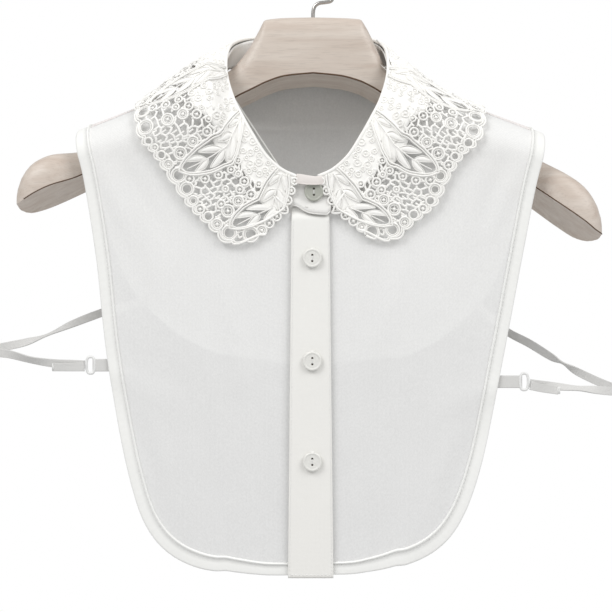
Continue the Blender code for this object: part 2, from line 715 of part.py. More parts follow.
def make_lace(name, side, kinds, where, helpers):
    """Cut flat, then laid on the neck and shoulders point by point."""
    fall = Fall(side)
    flat = flat_slab(f"{name}_flat", kinds["lace"], helpers)
    holes = []
    for share, out, radius, _ in lace_gaps(fall):
        _, along, away = fall.frame(share, out)
        sides = 7 if radius > 2.3 else 6
        centre = (share * LACE_LENGTH, out * LACE_WIDTH)
        holes.append(flat_prism(centre, (radius / along, radius / away), sides, 0.3))
    high = 4 * LACE_WALL
    outline = prism_object(f"{name}_outline", [scalloped_outline()], high, helpers, kinds["lace"])
    cutter = prism_object(f"{name}_gaps", holes, high, helpers, kinds["lace"])
    cut(flat, outline, "INTERSECT", "outline")
    cut(flat, cutter, "DIFFERENCE", "gaps")
    flat.hide_render = True
    flat.display_type = "WIRE"
    mesh = applied_mesh(flat)
    mesh.name = name
    tidy = bmesh.new()
    tidy.from_mesh(mesh)
    bmesh.ops.remove_doubles(tidy, verts=tidy.verts, dist=0.00002)
    bmesh.ops.dissolve_degenerate(tidy, edges=tidy.edges, dist=0.00002)
    bmesh.ops.triangulate(tidy, faces=tidy.faces)
    for vertex in tidy.verts:
        x, y, z = (c / MM for c in vertex.co)
        share, out = min(max(x / LACE_LENGTH, 0.0), 1.0), y / LACE_WIDTH
        normal, _, _ = fall.frame(share, out)
        vertex.co = (fall.point(share, out) + normal * z) * MM
    if tidy.calc_volume(signed=True) < 0:
        bmesh.ops.reverse_faces(tidy, faces=tidy.faces)
    tidy.to_mesh(mesh)
    tidy.free()
    made = bpy.data.objects.new(name, mesh)
    where.objects.link(made)


def stand_rows():
    """The stand's top and bottom edges, from its left end round the back to its right end."""
    tops, feet = [], []
    for side in (-1, 1):
        fall = Fall(side)
        shares = np.linspace(0, 1, 25)
        if side > 0:
            shares = shares[-2::-1]
        for share in shares:
            normal, _, _ = fall.frame(share, 0.03)
            back = STAND_UNDER_BACK * max(1 - share / STAND_UNDER_SHARE, 0.0) if side > 0 else 0.0
            top = fall.point(share, 0.0) - normal * (STAND_BACK + back)
            tops.append(top - np.array([0, 0, 1.0]))
            feet.append([np.interp(share, fall.share, column) for column in fall.table.T[9:]])
            feet[-1][1] += back
    return np.array(tops), np.array(feet)


def make_stand(kinds, where):
    """The upright band inside the fold. Its left end buttons over its right end."""
    tops, feet = stand_rows()
    over = [(STAND_LEFT_END_X, STAND_OVER_Y), (1.0, STAND_OVER_Y)]
    under = [(-2.0, STAND_UNDER_Y), (STAND_RIGHT_END_X, STAND_UNDER_Y)]
    tops = [(x, y, STAND_TOP_Z) for x, y in over] + list(tops) + [(x, y, STAND_TOP_Z) for x, y in under]
    feet = [(x, y, STAND_FOOT_Z) for x, y in over] + list(feet) + [(x, y, STAND_FOOT_Z) for x, y in under]
    steps = 64
    whole = curve_through(np.hstack([np.array(tops), np.array(feet)]), steps)
    rows = []
    for f in (0.0, 0.5, 1.0):
        rows += [(1 - f) * p[:3] + f * p[3:] for p in whole]
    shell("collar_stand", rows, grid_faces(3, steps + 1), STAND_WALL, kinds["cloth"], where)


def flat_wall(name, corners, y, wall, kind, where, rows=8, columns=3):
    """An upright strip: corners give its left and right x at the top and at the foot."""
    (top_left, top_right, top_z), (foot_left, foot_right, foot_z) = corners
    vertices = []
    for v in np.linspace(0, 1, rows):
        left, right = top_left + (foot_left - top_left) * v, top_right + (foot_right - top_right) * v
        for u in np.linspace(0, 1, columns):
            vertices.append((left + (right - left) * u, y, top_z + (foot_z - top_z) * v))
    return shell(name, vertices, grid_faces(rows, columns), wall, kind, where)


def make_placket(kinds, where):
    corners = (
        (CENTRE_X - PLACKET_TOP_HALF, CENTRE_X + PLACKET_TOP_HALF, PLACKET_TOP_Z),
        (CENTRE_X - PLACKET_HEM_HALF, CENTRE_X + PLACKET_HEM_HALF, HEM_Z - 1.0),
    )
    flat_wall("placket", corners, PLACKET_Y, PLACKET_WALL, kinds["binding"], where)


def make_neck_strip(kinds, where):
    """The turned-down strip between the collar's two ends, over the top of the stand's button."""
    corners = ((-10.6, 2.9, -187.0), (-10.0, 2.6, -193.6))
    flat_wall("neck_strip", corners, STAND_OVER_Y - 4.3, STAND_WALL, kinds["cloth"], where, 2, 3)


def make_button(name, x, y, z, kinds, where, helpers):
    """A round two-hole button, its face to the viewer."""
    made = bmesh.new()
    bmesh.ops.create_cone(
        made,
        cap_ends=True,
        segments=22,
        radius1=BUTTON_DIAMETER / 2 * MM,
        radius2=BUTTON_DIAMETER / 2 * MM,
        depth=BUTTON_WALL * MM,
    )
    bmesh.ops.rotate(made, verts=made.verts, matrix=rotation_to_front())
    mesh = bpy.data.meshes.new(name)
    made.to_mesh(mesh)
    made.free()
    mesh.materials.append(kinds["button"])
    button = bpy.data.objects.new(name, mesh)
    button.location = (x * MM, y * MM, z * MM)
    where.objects.link(button)
    edge = button.modifiers.new("edge", "BEVEL")
    edge.width = 0.5 * MM
    edge.segments = 1
    edge.limit_method = "ANGLE"
    holes = bmesh.new()
    for rise in (-2.4, 2.4):
        made_hole = bmesh.ops.create_cone(
            holes, cap_ends=True, segments=8, radius1=0.9 * MM, radius2=0.9 * MM, depth=6 * BUTTON_WALL * MM
        )
        bmesh.ops.rotate(holes, verts=made_hole["verts"], matrix=rotation_to_front())
        bmesh.ops.translate(holes, verts=made_hole["verts"], vec=(0, 0, rise * MM))
    hole_mesh = bpy.data.meshes.new(f"{name}_holes")
    holes.to_mesh(hole_mesh)
    holes.free()
    hole_mesh.materials.append(kinds["button"])
    cutter = bpy.data.objects.new(f"{name}_holes", hole_mesh)
    cutter.location = button.location
    helpers.objects.link(cutter)
    cut(button, cutter, "DIFFERENCE", "holes")


def rotation_to_front():
    return Matrix.Rotation(math.pi / 2, 3, "X")


def hanger_section(row, side):
    """One cross-section of the wood: a flat underside and a rounded top, front to back."""
    top = row.left_top if side < 0 else row.right_top
    front = row.left_front if side < 0 else row.right_front
    back = row.left_back if side < 0 else row.right_back
    x = side * row.reach + HANGER_SHIFT * row.reach / HANGER[-1].reach
    middle = (front + back) / 2
    points = []
    steps = 10
    for i in range(steps + 1):
        angle = math.pi * i / steps
        c, s = math.cos(angle), math.sin(angle)
        y = -math.copysign(abs(c) ** (2 / HANGER_ROUND), c)
        base = middle + (back - front) / 2 * y
        z = base + (top - middle) * s ** (2 / HANGER_ROUND)
        points.append((x, row.mid_y + row.half * y, z))
    sag = 0.05 * row.half
    for f in (0.67, 0.33):
        y = 2 * f - 1
        z = middle + (back - front) / 2 * y + sag
        points.append((x, row.mid_y + row.half * y, z))
    return points


def make_hanger(kinds, where):
    fine = []
    for i, row in enumerate(HANGER[:-1]):
        fine.append(row.reach)
        if HANGER[i + 1].reach - row.reach > 16:
            fine.append((row.reach + HANGER[i + 1].reach) / 2)
    fine.append(HANGER[-1].reach)
    sections = [hanger_section(row_at(HANGER, reach), -1) for reach in reversed(fine)]
    sections += [hanger_section(row_at(HANGER, reach), 1) for reach in fine[1:]]
    count = len(sections[0])
    vertices = [p for section in sections for p in section]
    faces = []
    for s in range(len(sections) - 1):
        for k in range(count):
            n = (k + 1) % count
            a, b = s * count, (s + 1) * count
            faces.append((a + k, a + n, b + n, b + k))
    faces.append(tuple(range(count)))
    faces.append(tuple((len(sections) - 1) * count + k for k in range(count)))
    new_object("hanger_bar", vertices, faces, kinds["wood"], where)


def make_hook(kinds, where):
    wire = HOOK_WIRE / 2
    centre_z = wire - HOOK_RADIUS
    points = list(HOOK_BEND)
    steps = 22
    for i in range(steps + 1):
        angle = math.radians(HOOK_ARC_FROM + (HOOK_ARC_TO - HOOK_ARC_FROM) * i / steps)
        points.append((HOOK_RADIUS * math.cos(angle), centre_z + HOOK_RADIUS * math.sin(angle)))
    line = bpy.data.curves.new("hanger_hook", "CURVE")
    line.dimensions = "3D"
    line.bevel_depth = wire * MM
    line.bevel_resolution = 2
    line.use_fill_caps = True
    spline = line.splines.new("POLY")
    spline.points.add(len(points) - 1)
    for place, (x, z) in zip(spline.points, points):
        place.co = (x * MM, 0, z * MM, 1)
    line.materials.append(kinds["steel"])
    where.objects.link(bpy.data.objects.new("hanger_hook", line))


def ribbon(name, rows, steps, kinds, where):
    """A flat ribbon along the rows' route, turned about it as they say."""
    route = curve_through([(r.x, r.y, r.z, r.turn) for r in rows], steps)
    sections = []
    for i, (x, y, z, turn) in enumerate(route):
        ahead = route[min(i + 1, steps)][:3] - route[max(i - 1, 0)][:3]
        ahead /= np.linalg.norm(ahead)
        up = np.array([0.0, 0.0, 1.0])
        up -= ahead * up.dot(ahead)
        up /= np.linalg.norm(up)
        out = np.cross(ahead, up)
        c, s = math.cos(math.radians(turn)), math.sin(math.radians(turn))
        wide, thin = up * c + out * s, out * c - up * s
        middle = np.array([x, y, z])
        for a, b in ((1, 1), (1, -1), (-1, -1), (-1, 1)):
            sections.append(middle + wide * a * STRAP_WIDTH / 2 + thin * b * STRAP_WALL / 2)
    faces = []
    for i in range(steps):
        for k in range(4):
            n = (k + 1) % 4
            faces.append((4 * i + k, 4 * i + n, 4 * i + 4 + n, 4 * i + 4 + k))
    faces.append((0, 1, 2, 3))
    faces.append(tuple(4 * steps + k for k in range(4)))
    new_object(name, sections, faces, kinds["ribbon"], where)


def make_slider(name, place, kinds, where):
    """A flat oval ring that the ribbon is threaded through."""
    x, y, z = place
    half_x, half_z = SLIDER_SIZE[0] / 2, SLIDER_SIZE[1] / 2
    around, tube = 16, 6
    vertices = []
    for i in range(around):
        angle = 2 * math.pi * i / around
        c, s = math.cos(angle), math.sin(angle)
        centre = np.array([half_x * math.copysign(abs(c) ** 0.7, c), 0, half_z * math.copysign(abs(s) ** 0.7, s)])
        away = np.array([c, 0, s])
        for k in range(tube):
            turn = 2 * math.pi * k / tube
            radius = SLIDER_WIRE / 2
            vertices.append(centre + away * radius * math.cos(turn) + np.array([0, radius * math.sin(turn), 0]))
    vertices = [v + np.array([x, y, z]) for v in vertices]
    faces = []
    for i in range(around):
        for k in range(tube):
            j, n = (i + 1) % around, (k + 1) % tube
            faces.append((i * tube + k, i * tube + n, j * tube + n, j * tube + k))
    new_object(name, vertices, faces, kinds["plastic"], where)


def make_straps(kinds, where):
    for name, rows, slider, tab_end, side in (
        ("left", STRAP_LEFT, SLIDER_LEFT, TAB_END_LEFT, -1),
        ("right", STRAP_RIGHT, SLIDER_RIGHT, TAB_END_RIGHT, 1),
    ):
        ribbon(f"strap_{name}", rows, 44, kinds, where)
        make_slider(f"slider_{name}", slider, kinds, where)
        x, y, z = slider
        reach = SLIDER_SIZE[0] / 2 + SLIDER_WIRE / 2 + GAP
        low, high = sorted((x - side * reach, tab_end))
        corners = ((low, high, z + 4.4), (low, high, z - 4.4))
        flat_wall(f"tab_{name}", corners, y, STRAP_WALL, kinds["ribbon"], where, 2, 3)


def main():
    clear_scene()
    where = collection("lace_collar_on_hanger")
    helpers = collection("helpers", shown=False)
    kinds = {
        "cloth": material("cloth", 0.85),
        "lace": material("lace", 0.75),
        "binding": material("binding", 0.8),
        "wood": material("wood", 0.5),
        "steel": material("steel", 0.3, 1.0),
        "button": material("button", 0.35),
        "ribbon": material("ribbon", 0.7),
        "plastic": material("plastic", 0.4),
    }
    make_hanger(kinds, where)
    make_hook(kinds, where)
    make_front("front_left", -1, kinds, where)
    make_front("front_right", 1, kinds, where)
    make_back(kinds, where)
    make_stand(kinds, where)
    make_neck_strip(kinds, where)
    make_lace("lace_left", -1, kinds, where, helpers)
    make_lace("lace_right", 1, kinds, where, helpers)
    make_placket(kinds, where)
    face_y = PLACKET_Y - PLACKET_WALL / 2 - GAP - BUTTON_WALL / 2
    for i, z in enumerate(BUTTON_HEIGHTS):
        make_button(f"button_{i + 1}", CENTRE_X + 1.1, face_y, z, kinds, where, helpers)
    stand_face = STAND_OVER_Y - STAND_WALL / 2 - GAP - BUTTON_WALL / 2
    make_button("button_stand", 0.2, stand_face, -197.0, kinds, where, helpers)
    make_straps(kinds, where)


main()
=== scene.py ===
"""Looks of a detachable blouse collar of sheer cloth and guipure lace on a wooden hanger.

Metres in Blender, millimetres in every table here. The shape tables repeat the part's own, so
each piece lies where its solid does.
"""

import json
import math
from bisect import bisect_right
from collections import namedtuple

import bmesh
import bpy
import numpy as np
from mathutils import Matrix, Vector

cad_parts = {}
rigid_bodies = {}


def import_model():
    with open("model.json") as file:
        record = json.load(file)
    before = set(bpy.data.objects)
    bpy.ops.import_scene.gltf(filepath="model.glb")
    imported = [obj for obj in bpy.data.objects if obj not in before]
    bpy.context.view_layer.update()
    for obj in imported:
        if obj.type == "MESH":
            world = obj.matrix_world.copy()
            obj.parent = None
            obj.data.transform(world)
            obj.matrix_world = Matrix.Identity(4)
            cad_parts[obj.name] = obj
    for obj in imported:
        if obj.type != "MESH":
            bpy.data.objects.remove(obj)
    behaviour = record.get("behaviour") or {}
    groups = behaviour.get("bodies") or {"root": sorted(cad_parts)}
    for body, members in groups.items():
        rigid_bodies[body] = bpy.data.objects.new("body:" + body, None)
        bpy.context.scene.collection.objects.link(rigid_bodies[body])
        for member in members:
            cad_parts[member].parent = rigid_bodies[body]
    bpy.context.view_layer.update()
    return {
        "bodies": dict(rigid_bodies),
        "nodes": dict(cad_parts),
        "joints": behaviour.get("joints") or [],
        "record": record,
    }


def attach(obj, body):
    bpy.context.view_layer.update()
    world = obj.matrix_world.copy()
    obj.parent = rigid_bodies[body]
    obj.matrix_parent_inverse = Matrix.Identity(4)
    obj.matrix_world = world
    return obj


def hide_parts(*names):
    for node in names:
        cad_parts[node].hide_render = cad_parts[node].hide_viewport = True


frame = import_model()

MM = 0.001
SIDES = {-1: "left", 1: "right"}
TO_VIEWER = (0.0, -1.0, 0.0)
CENTRE_X = -2.0
NECK_X = -4.5
CLOTH_WALL = 1.0
LACE_WALL = 1.6
BINDING_WIDTH = 9.0
LACE_CLEAR = 1.9
SEAM_GAP = 1.2
LACE_WIDTH = 72.0
GAP = 0.3
SHEER_WALL = 0.35
SEAM_TURNING = 9.0
CREASE_FADE = 24.0
PLACKET_WALL = 1.4
PLACKET_UNDER = 6.5
PLACKET_TUCK = 3.2
TAB_FORWARD = 2.6
BUTTON_RADIUS = 7.0
BUTTON_WALL = 2.4
BUTTON_HOLE_RISE = 2.1
STAND_BUTTON = (0.2, -67.7, -197.0)
# A button's profile from its middle out: reach, of 7, and height, as a share of half its wall.
BUTTON_PROFILE = [
    (0.0, 0.52), (3.4, 0.56), (4.5, 0.66), (4.8, 0.62), (5.2, 0.85), (5.8, 1.0), (6.3, 0.9),
    (6.6, 0.6), (6.7, 0.1), (6.6, -0.35), (6.2, -0.8), (5.2, -1.0), (0.0, -1.0),
]

# The edge bands' section: how far across each point lies, and how far off the cloth; then the
# stitches, by how far across, on which face and how far off the cloth.
BAND_STEPS = 240
BAND_ACROSS = [0.0, 0.03, 0.09, 0.15, 0.19, 0.5, 0.88, 0.97, 1.0, 0.97, 0.88, 0.5, 0.14, 0.03]
BAND_RISE = [0.0, 1.2, 1.65, 1.2, 0.45, 0.5, 0.6, 0.45, 0.0, -0.45, -0.6, -0.6, -0.55, -0.4]
BAND_STITCHES = [(0.23, 1, 0.52), (0.17, -1, 0.58)]
BAND_PUCKER = 0.08

# The sheer cloth changes from its shoulder look to its low one between these heights, in metres; this
# change of colour, here and in the other cloths, is painted light and shade from top to hem.
SHOULDER_Z = -0.15
LOW_Z = -0.46
FINE_PITCH = 0.7

# The lace: where each leaf starts at the fold and how far its tip is moved along, the leaves' outline
# by how far along they are, and what lies round them.
Leaf = namedtuple("Leaf", "share lean")
LEAVES = [Leaf(0.052, 0.041), Leaf(0.312, -0.004), Leaf(0.484, 0.040), Leaf(0.690, 0.03), Leaf(0.900, 0.01)]
LEAF_BASE = 1.5
LEAF_TIP = 62.5
LEAF_HALF_WIDTHS = (
    [0.0, 0.12, 0.30, 0.45, 0.58, 0.70, 0.84, 0.93, 1.0],
    [5.0, 7.8, 10.6, 11.5, 11.4, 10.3, 7.6, 4.6, 0.0],
)
Ring = namedtuple("Ring", "share v radius")
SHOULDER_RINGS = [Ring(0.452, 52.1, 5.0), Ring(0.440, 42.5, 4.4), Ring(0.420, 35.0, 3.8)]
# Rings with a knot go along both sides of a leaf and down the collar's front edge: where the first
# one lies from the fold, how far apart they are, how many, and the radius of the first and the last.
Chain = namedtuple("Chain", "first step count start end")
LEAF_LOW_CHAIN = Chain(24.0, 8.8, 5, 2.9, 3.9)
LEAF_HIGH_CHAIN = Chain(22.0, 11.0, 4, 3.0, 5.0)
FRONT_CHAIN = Chain(5.4, 9.5, 7, 3.1, 4.1)
FILL_CHAIN = Chain(31.0, 7.6, 4, 3.1, 3.4)
Petal = namedtuple("Petal", "root length half lean")
PETALS = [
    Petal(0.00, 14.0, 2.1, 26),
    Petal(0.19, 16.5, 2.4, 26),
    Petal(0.40, 17.0, 2.5, 23),
    Petal(0.61, 14.0, 2.1, 19),
]
# The widths of a leaf period's scallops, as shares of it, from one leaf's tip to the next.
SCALLOP_SHARES = [0.21, 0.16, 0.15, 0.14, 0.15, 0.19]
SCALLOP_DEPTH = 3.0
NECK_RINGS = 44
NECK_ROWS = [4.2, 10.2, 16.4, 22.8, 29.6]
NECK_RADIUS = 2.6
NECK_GROUND = 24.0
NET_START = 19.0
NET_DEPTH = 46.0
NET_PITCH = 4.9
NET_COUNT = 44
NET_WIDE = 0.84
FILL_RINGS = 26

# The picture: where the camera stands, what it looks through, and the studio's light.
CAMERA_PLACE = (-0.0053, -1.115, -0.2768)
CAMERA_LENS = 88.2
FLOOR_Z = -1.5
FLOOR_HALF = 2.0
WORLD_LIGHT = 0.5
# How bright the backdrop shows through the sheer cloth: a painted shade behind the cloth, not the
# backdrop's own tone.
SHADE_THROUGH_CLOTH = 0.06
KEY_POWER = 57.0
FILL_POWER = 47.5

# The cloth over the hanger, by distance from the centre line: the ridge it hangs from, then the
# front and back sheets and how far each drops before it hangs straight.
Shoulder = namedtuple("Shoulder", "reach ridge_y left_z right_z front_y front_drop back_y back_drop")
SHOULDER = [
    Shoulder(0, 25, -90.0, -90.0, -64.0, 40, 31, 15),
    Shoulder(35, 22, -92.5, -93.0, -64.0, 40, 30, 16),
    Shoulder(58, 10, -99.8, -101.5, -64.0, 42, 28, 18),
    Shoulder(67, -3, -105.6, -108.2, -64.0, 44, 26, 20),
    Shoulder(93, -8, -119.3, -121.8, -64.5, 40, 22, 17),
    Shoulder(124, -16, -132.0, -134.5, -65.0, 32, 14, 16),
    Shoulder(150, -22, -143.0, -145.0, -64.5, 26, 4, 14),
    Shoulder(168, -27, -150.5, -152.5, -63.0, 22, -4, 12),
]

Edge = namedtuple("Edge", "x z")
FRONT_EDGE_LEFT = [
    Edge(-168.0, -158.0),
    Edge(-161.5, -187.0),
    Edge(-152.3, -244.0),
    Edge(-144.4, -315.0),
    Edge(-130.0, -393.0),
    Edge(-114.0, -436.5),
    Edge(-85.0, -459.0),
    Edge(-46.0, -464.5),
]
FRONT_EDGE_RIGHT = [
    Edge(164.0, -158.0),
    Edge(156.0, -193.0),
    Edge(146.0, -244.0),
    Edge(132.5, -315.0),
    Edge(116.8, -391.0),
    Edge(98.5, -435.0),
    Edge(70.0, -456.5),
    Edge(36.0, -463.5),
]
FRONT_EDGES = {-1: FRONT_EDGE_LEFT, 1: FRONT_EDGE_RIGHT}
HEM_Z = -466.0
TIP_REACH = 166.0
BACK_EDGE = [
    Edge(163.0, -170.0),
    Edge(151.0, -220.0),
    Edge(140.0, -254.0),
    Edge(126.0, -277.0),
    Edge(96.5, -303.0),
    Edge(59.0, -316.5),
    Edge(26.0, -320.0),
]
BACK_HEM_Z = -320.5
FRONT_SIDE = 0.58
BACK_SIDE = 0.3
ROW_SPREAD = 1.7

Neck = namedtuple(
    "Neck",
    "half_x fold_y fold_z seam_x seam_z seam_face left_x left_z right_x right_z edge_face",
)
NECK = [
    Neck(7.4, -67.6, -186.0, 7.0, -212.5, 1, -38.0, -228.5, 36.0, -225.5, 1),
    Neck(18.3, -67.8, -180.8, 23.0, -209.5, 1, -59.0, -234.5, 55.0, -232.3, 1),
    Neck(28.9, -67.0, -171.0, 37.5, -201.0, 1, -74.0, -221.5, 70.5, -219.5, 1),
    Neck(38.0, -65.0, -156.7, 49.0, -186.0, 1, -89.0, -206.5, 87.0, -205.5, 1),
    Neck(45.3, -61.5, -143.4, 58.0, -167.0, 1, -102.5, -186.5, 95.5, -187.5, 1),
    Neck(52.4, -53.5, -128.2, 64.5, -145.0, 1, -114.5, -169.0, 106.5, -171.0, 1),
    Neck(57.8, -37.0, -107.5, 67.5, -122.0, 1, -124.5, -153.5, 119.5, -155.5, 1),
    Neck(57.8, -9.0, -87.0, 67.0, 0.0, 0, -124.5, 0.0, 120.5, 0.0, 0),
    Neck(52.0, 12.0, -77.0, 60.0, 0.0, 0, -104.0, -133.0, 100.0, -134.5, -1),
    Neck(40.0, 22.5, -73.0, 44.0, 0.0, 0, -76.0, -138.0, 72.0, -139.0, -1),
    Neck(20.0, 28.6, -71.2, 22.0, 0.0, 0, -40.0, -141.0, 36.0, -141.0, -1),
    Neck(0.0, 30.2, -70.5, 0.0, 0.0, 0, -2.0, -141.5, -2.0, -141.5, -1),
]
Drape = namedtuple("Drape", "seam_out land_x past left_roll right_roll")
DRAPE = [
    Drape(0.44, 17.0, -5.0, 0.3, 0.3),
    Drape(0.42, 25.0, 0.0, 0.3, 0.3),
    Drape(0.43, 37.5, 0.0, 0.4, 0.4),
    Drape(0.42, 49.0, 0.0, 0.8, 0.8),
    Drape(0.36, 58.0, 0.0, 1.8, 1.5),
    Drape(0.32, 64.5, 0.0, 5.0, 3.0),
    Drape(0.26, 67.5, 0.0, 10.0, 6.0),
    Drape(0.15, 67.0, 0.0, 15.0, 9.0),
    Drape(0.14, 60.0, -3.0, 15.0, 10.0),
    Drape(0.22, 44.0, -6.0, 9.0, 8.0),
    Drape(0.30, 22.0, -8.0, 5.0, 5.0),
    Drape(0.32, 0.0, -8.0, 4.0, 4.0),
]
FALL_POWER = {-1: 1.0, 1: 2.0}
FALL_ARCH = {-1: 0.18, 1: 0.0}

STAND_HIGH = 30.0
STAND_WALL = 0.9
STAND_BACK = 2.3
STAND_UNDER_BACK = 1.9
STAND_UNDER_SHARE = 0.16
STAND_LEFT_END_X = 11.5
STAND_RIGHT_END_X = -10.0
STAND_OVER_Y = -65.6
STAND_UNDER_Y = -63.3
STAND_FOOT_Z = -212.2
STAND_TOP_Z = -187.6
# The turned-down strip between the collar's ends: x, and the heights of its top and foot there.
NECK_STRIP = (
    [-12.2, -5.0, 1.0, 7.2],
    [-184.2, -185.6, -186.4, -185.8],
    [-191.4, -192.4, -192.6, -192.0],
)

Arm = namedtuple(
    "Arm",
    "reach mid_y half left_top left_front left_back right_top right_front right_back",
)
HANGER = [
    Arm(0, 0, 19.0, -65.0, -106.5, -111.0, -65.0, -106.5, -111.0),
    Arm(20, 0, 19.0, -65.4, -108.5, -113.0, -65.4, -108.5, -113.0),
    Arm(35, 0, 19.0, -67.0, -113.5, -118.0, -66.4, -112.5, -117.0),
    Arm(39, 0, 19.0, -74.0, -115.5, -120.0, -71.5, -114.3, -119.0),
    Arm(46, 0, 19.0, -86.0, -119.0, -123.5, -84.5, -118.0, -123.0),
    Arm(53, 0, 19.0, -95.0, -122.5, -127.0, -98.5, -122.5, -127.5),
    Arm(60, 0, 19.0, -102.5, -126.5, -131.5, -107.2, -127.0, -132.5),
    Arm(80, -2, 19.5, -114.4, -136.0, -141.5, -118.6, -139.0, -144.0),
    Arm(100, -6, 20.5, -125.8, -146.5, -152.0, -129.0, -151.5, -157.5),
    Arm(120, -12, 21.5, -137.0, -157.5, -163.0, -141.0, -164.5, -171.5),
    Arm(145, -22, 22.5, -154.0, -173.0, -181.0, -158.5, -182.0, -190.5),
    Arm(165, -31, 23.5, -167.0, -185.5, -192.5, -173.5, -196.5, -206.0),
    Arm(183, -38, 23.0, -170.0, -192.0, -202.0, -184.0, -209.5, -220.0),
    Arm(195, -42, 19.5, -175.5, -198.0, -207.5, -193.0, -218.0, -228.0),
    Arm(202, -45, 14.5, -183.0, -202.3, -209.6, -202.0, -223.5, -230.0),
    Arm(206, -47, 9.0, -191.5, -204.3, -208.8, -211.0, -225.5, -229.5),
    Arm(207.5, -48, 4.0, -197.5, -204.6, -206.6, -217.5, -226.0, -228.0),
]
HANGER_SHIFT = -3.0
# How square the wood's section is, by reach: squarest at the block that the hook goes into.
HANGER_ROUND = ([36.0, 52.0], [5.0, 2.6])
# The dark lines along its lower front edge: from x, to x, and half as wide as this.
HANGER_LINES = [(-78, 78, 0.6), (-205, -150, 0.42), (150, 205, 0.42)]

HOOK_WIRE = 2.8
HOOK_RADIUS = 24.0
HOOK_BEND = [(0.0, -64.7), (0.0, -58.5), (1.2, -54.0), (4.6, -51.6), (9.5, -50.9), (14.0, -49.2)]
HOOK_ARC_FROM = -50.0
HOOK_ARC_TO = 215.0

BUTTON_HEIGHTS = [-243.3, -315.3, -385.5]
BUTTON_X = -0.9
PLACKET_TOP_Z = -213.4
PLACKET_TOP_HALF = 13.4
PLACKET_HEM_HALF = 15.9
PLACKET_Y = -66.7

STRAP_WIDTH = 6.0
Strap = namedtuple("Strap", "x y z turn")
STRAP_LEFT = [
    Strap(-124.0, 13.3, -272.0, 0),
    Strap(-137.0, 2.0, -276.2, 0),
    Strap(-153.0, -14.0, -281.0, 5),
    Strap(-174.0, -27.0, -289.5, 40),
    Strap(-193.0, -31.0, -298.0, 80),
    Strap(-208.0, -33.0, -303.0, 30),
    Strap(-221.0, -35.0, -305.8, 5),
    Strap(-231.5, -38.5, -307.8, 0),
    Strap(-234.5, -43.0, -309.2, 0),
    Strap(-230.0, -47.5, -309.8, 0),
    Strap(-216.5, -49.5, -311.0, 10),
    Strap(-200.0, -52.5, -315.0, 35),
    Strap(-184.0, -56.5, -317.2, 10),
    Strap(-170.0, -61.2, -317.6, 0),
    Strap(-160.6, -63.3, -318.0, 0),
]
STRAP_RIGHT = [
    Strap(121.0, 12.0, -274.0, 0),
    Strap(132.0, 1.0, -285.5, 0),
    Strap(143.0, -14.0, -296.0, 5),
    Strap(157.5, -24.0, -304.2, 0),
    Strap(172.0, -29.0, -313.5, 25),
    Strap(180.5, -32.0, -318.2, 75),
    Strap(191.0, -34.0, -324.5, 20),
    Strap(205.0, -36.0, -331.2, 5),
    Strap(217.0, -38.5, -336.0, 0),
    Strap(222.0, -43.0, -338.0, 0),
    Strap(216.0, -47.5, -337.9, 0),
    Strap(203.0, -50.0, -336.6, 15),
    Strap(188.0, -53.0, -335.2, 60),
    Strap(172.0, -57.0, -333.6, 30),
    Strap(160.0, -61.4, -332.2, 0),
    Strap(151.9, -63.3, -331.0, 0),
]
STRAPS = {-1: STRAP_LEFT, 1: STRAP_RIGHT}
SLIDERS = {-1: (-156.4, -63.3, -318.3), 1: (147.7, -63.3, -329.9)}
SLIDER_SIZE = (5.6, 11.6)
SLIDER_WIRE = 1.9
TAB_ENDS = {-1: -125.0, 1: 112.0}

# Soft creases laid one by one: from (x, z) to (x, z), how wide and how high; a minus sign is a dip.
Crease = namedtuple("Crease", "x0 z0 x1 z1 wide high")
FRONT_CREASES_LEFT = [
    Crease(-160, -160, -126, -232, 8, 1.3),
    Crease(-146, -158, -104, -226, 9, -1.0),
    Crease(-128, -176, -98, -300, 12, 0.8),
    Crease(-150, -318, -96, -346, 9, 0.9),
    Crease(-146, -326, -110, -392, 9, -0.8),
    Crease(-66, -240, -52, -330, 11, 1.0),
    Crease(-34, -236, -26, -400, 8, 0.8),
    Crease(-88, -330, -62, -452, 14, -1.1),
    Crease(-114, -350, -92, -438, 10, 0.9),
    Crease(-20, -300, -22, -456, 5, -0.5),
]
FRONT_CREASES_RIGHT = [
    Crease(156, -160, 122, -226, 8, 1.2),
    Crease(140, -160, 108, -246, 9, -1.0),
    Crease(120, -186, 92, -290, 12, 0.8),
    Crease(138, -330, 84, -350, 9, 0.9),
    Crease(132, -340, 92, -410, 10, -0.9),
    Crease(62, -238, 44, -320, 11, 0.9),
    Crease(28, -232, 24, -380, 8, 0.8),
    Crease(74, -330, 50, -450, 14, -1.0),
    Crease(98, -366, 74, -444, 10, 0.9),
    Crease(18, -320, 20, -458, 5, -0.5),
]
FRONT_CREASES = {-1: FRONT_CREASES_LEFT, 1: FRONT_CREASES_RIGHT}
BACK_CREASES = [
    Crease(-120, -150, -60, -250, 11, 1.2),
    Crease(112, -152, 66, -236, 10, 1.2),
    Crease(-30, -150, -22, -300, 12, 1.0),
    Crease(36, -160, 30, -306, 12, -1.1),
    Crease(-92, -200, -70, -300, 11, -1.0),
    Crease(92, -190, 74, -292, 10, 1.0),
    Crease(-132, -262, -86, -246, 8, 0.9),
    Crease(126, -262, 84, -250, 8, -0.9),
]


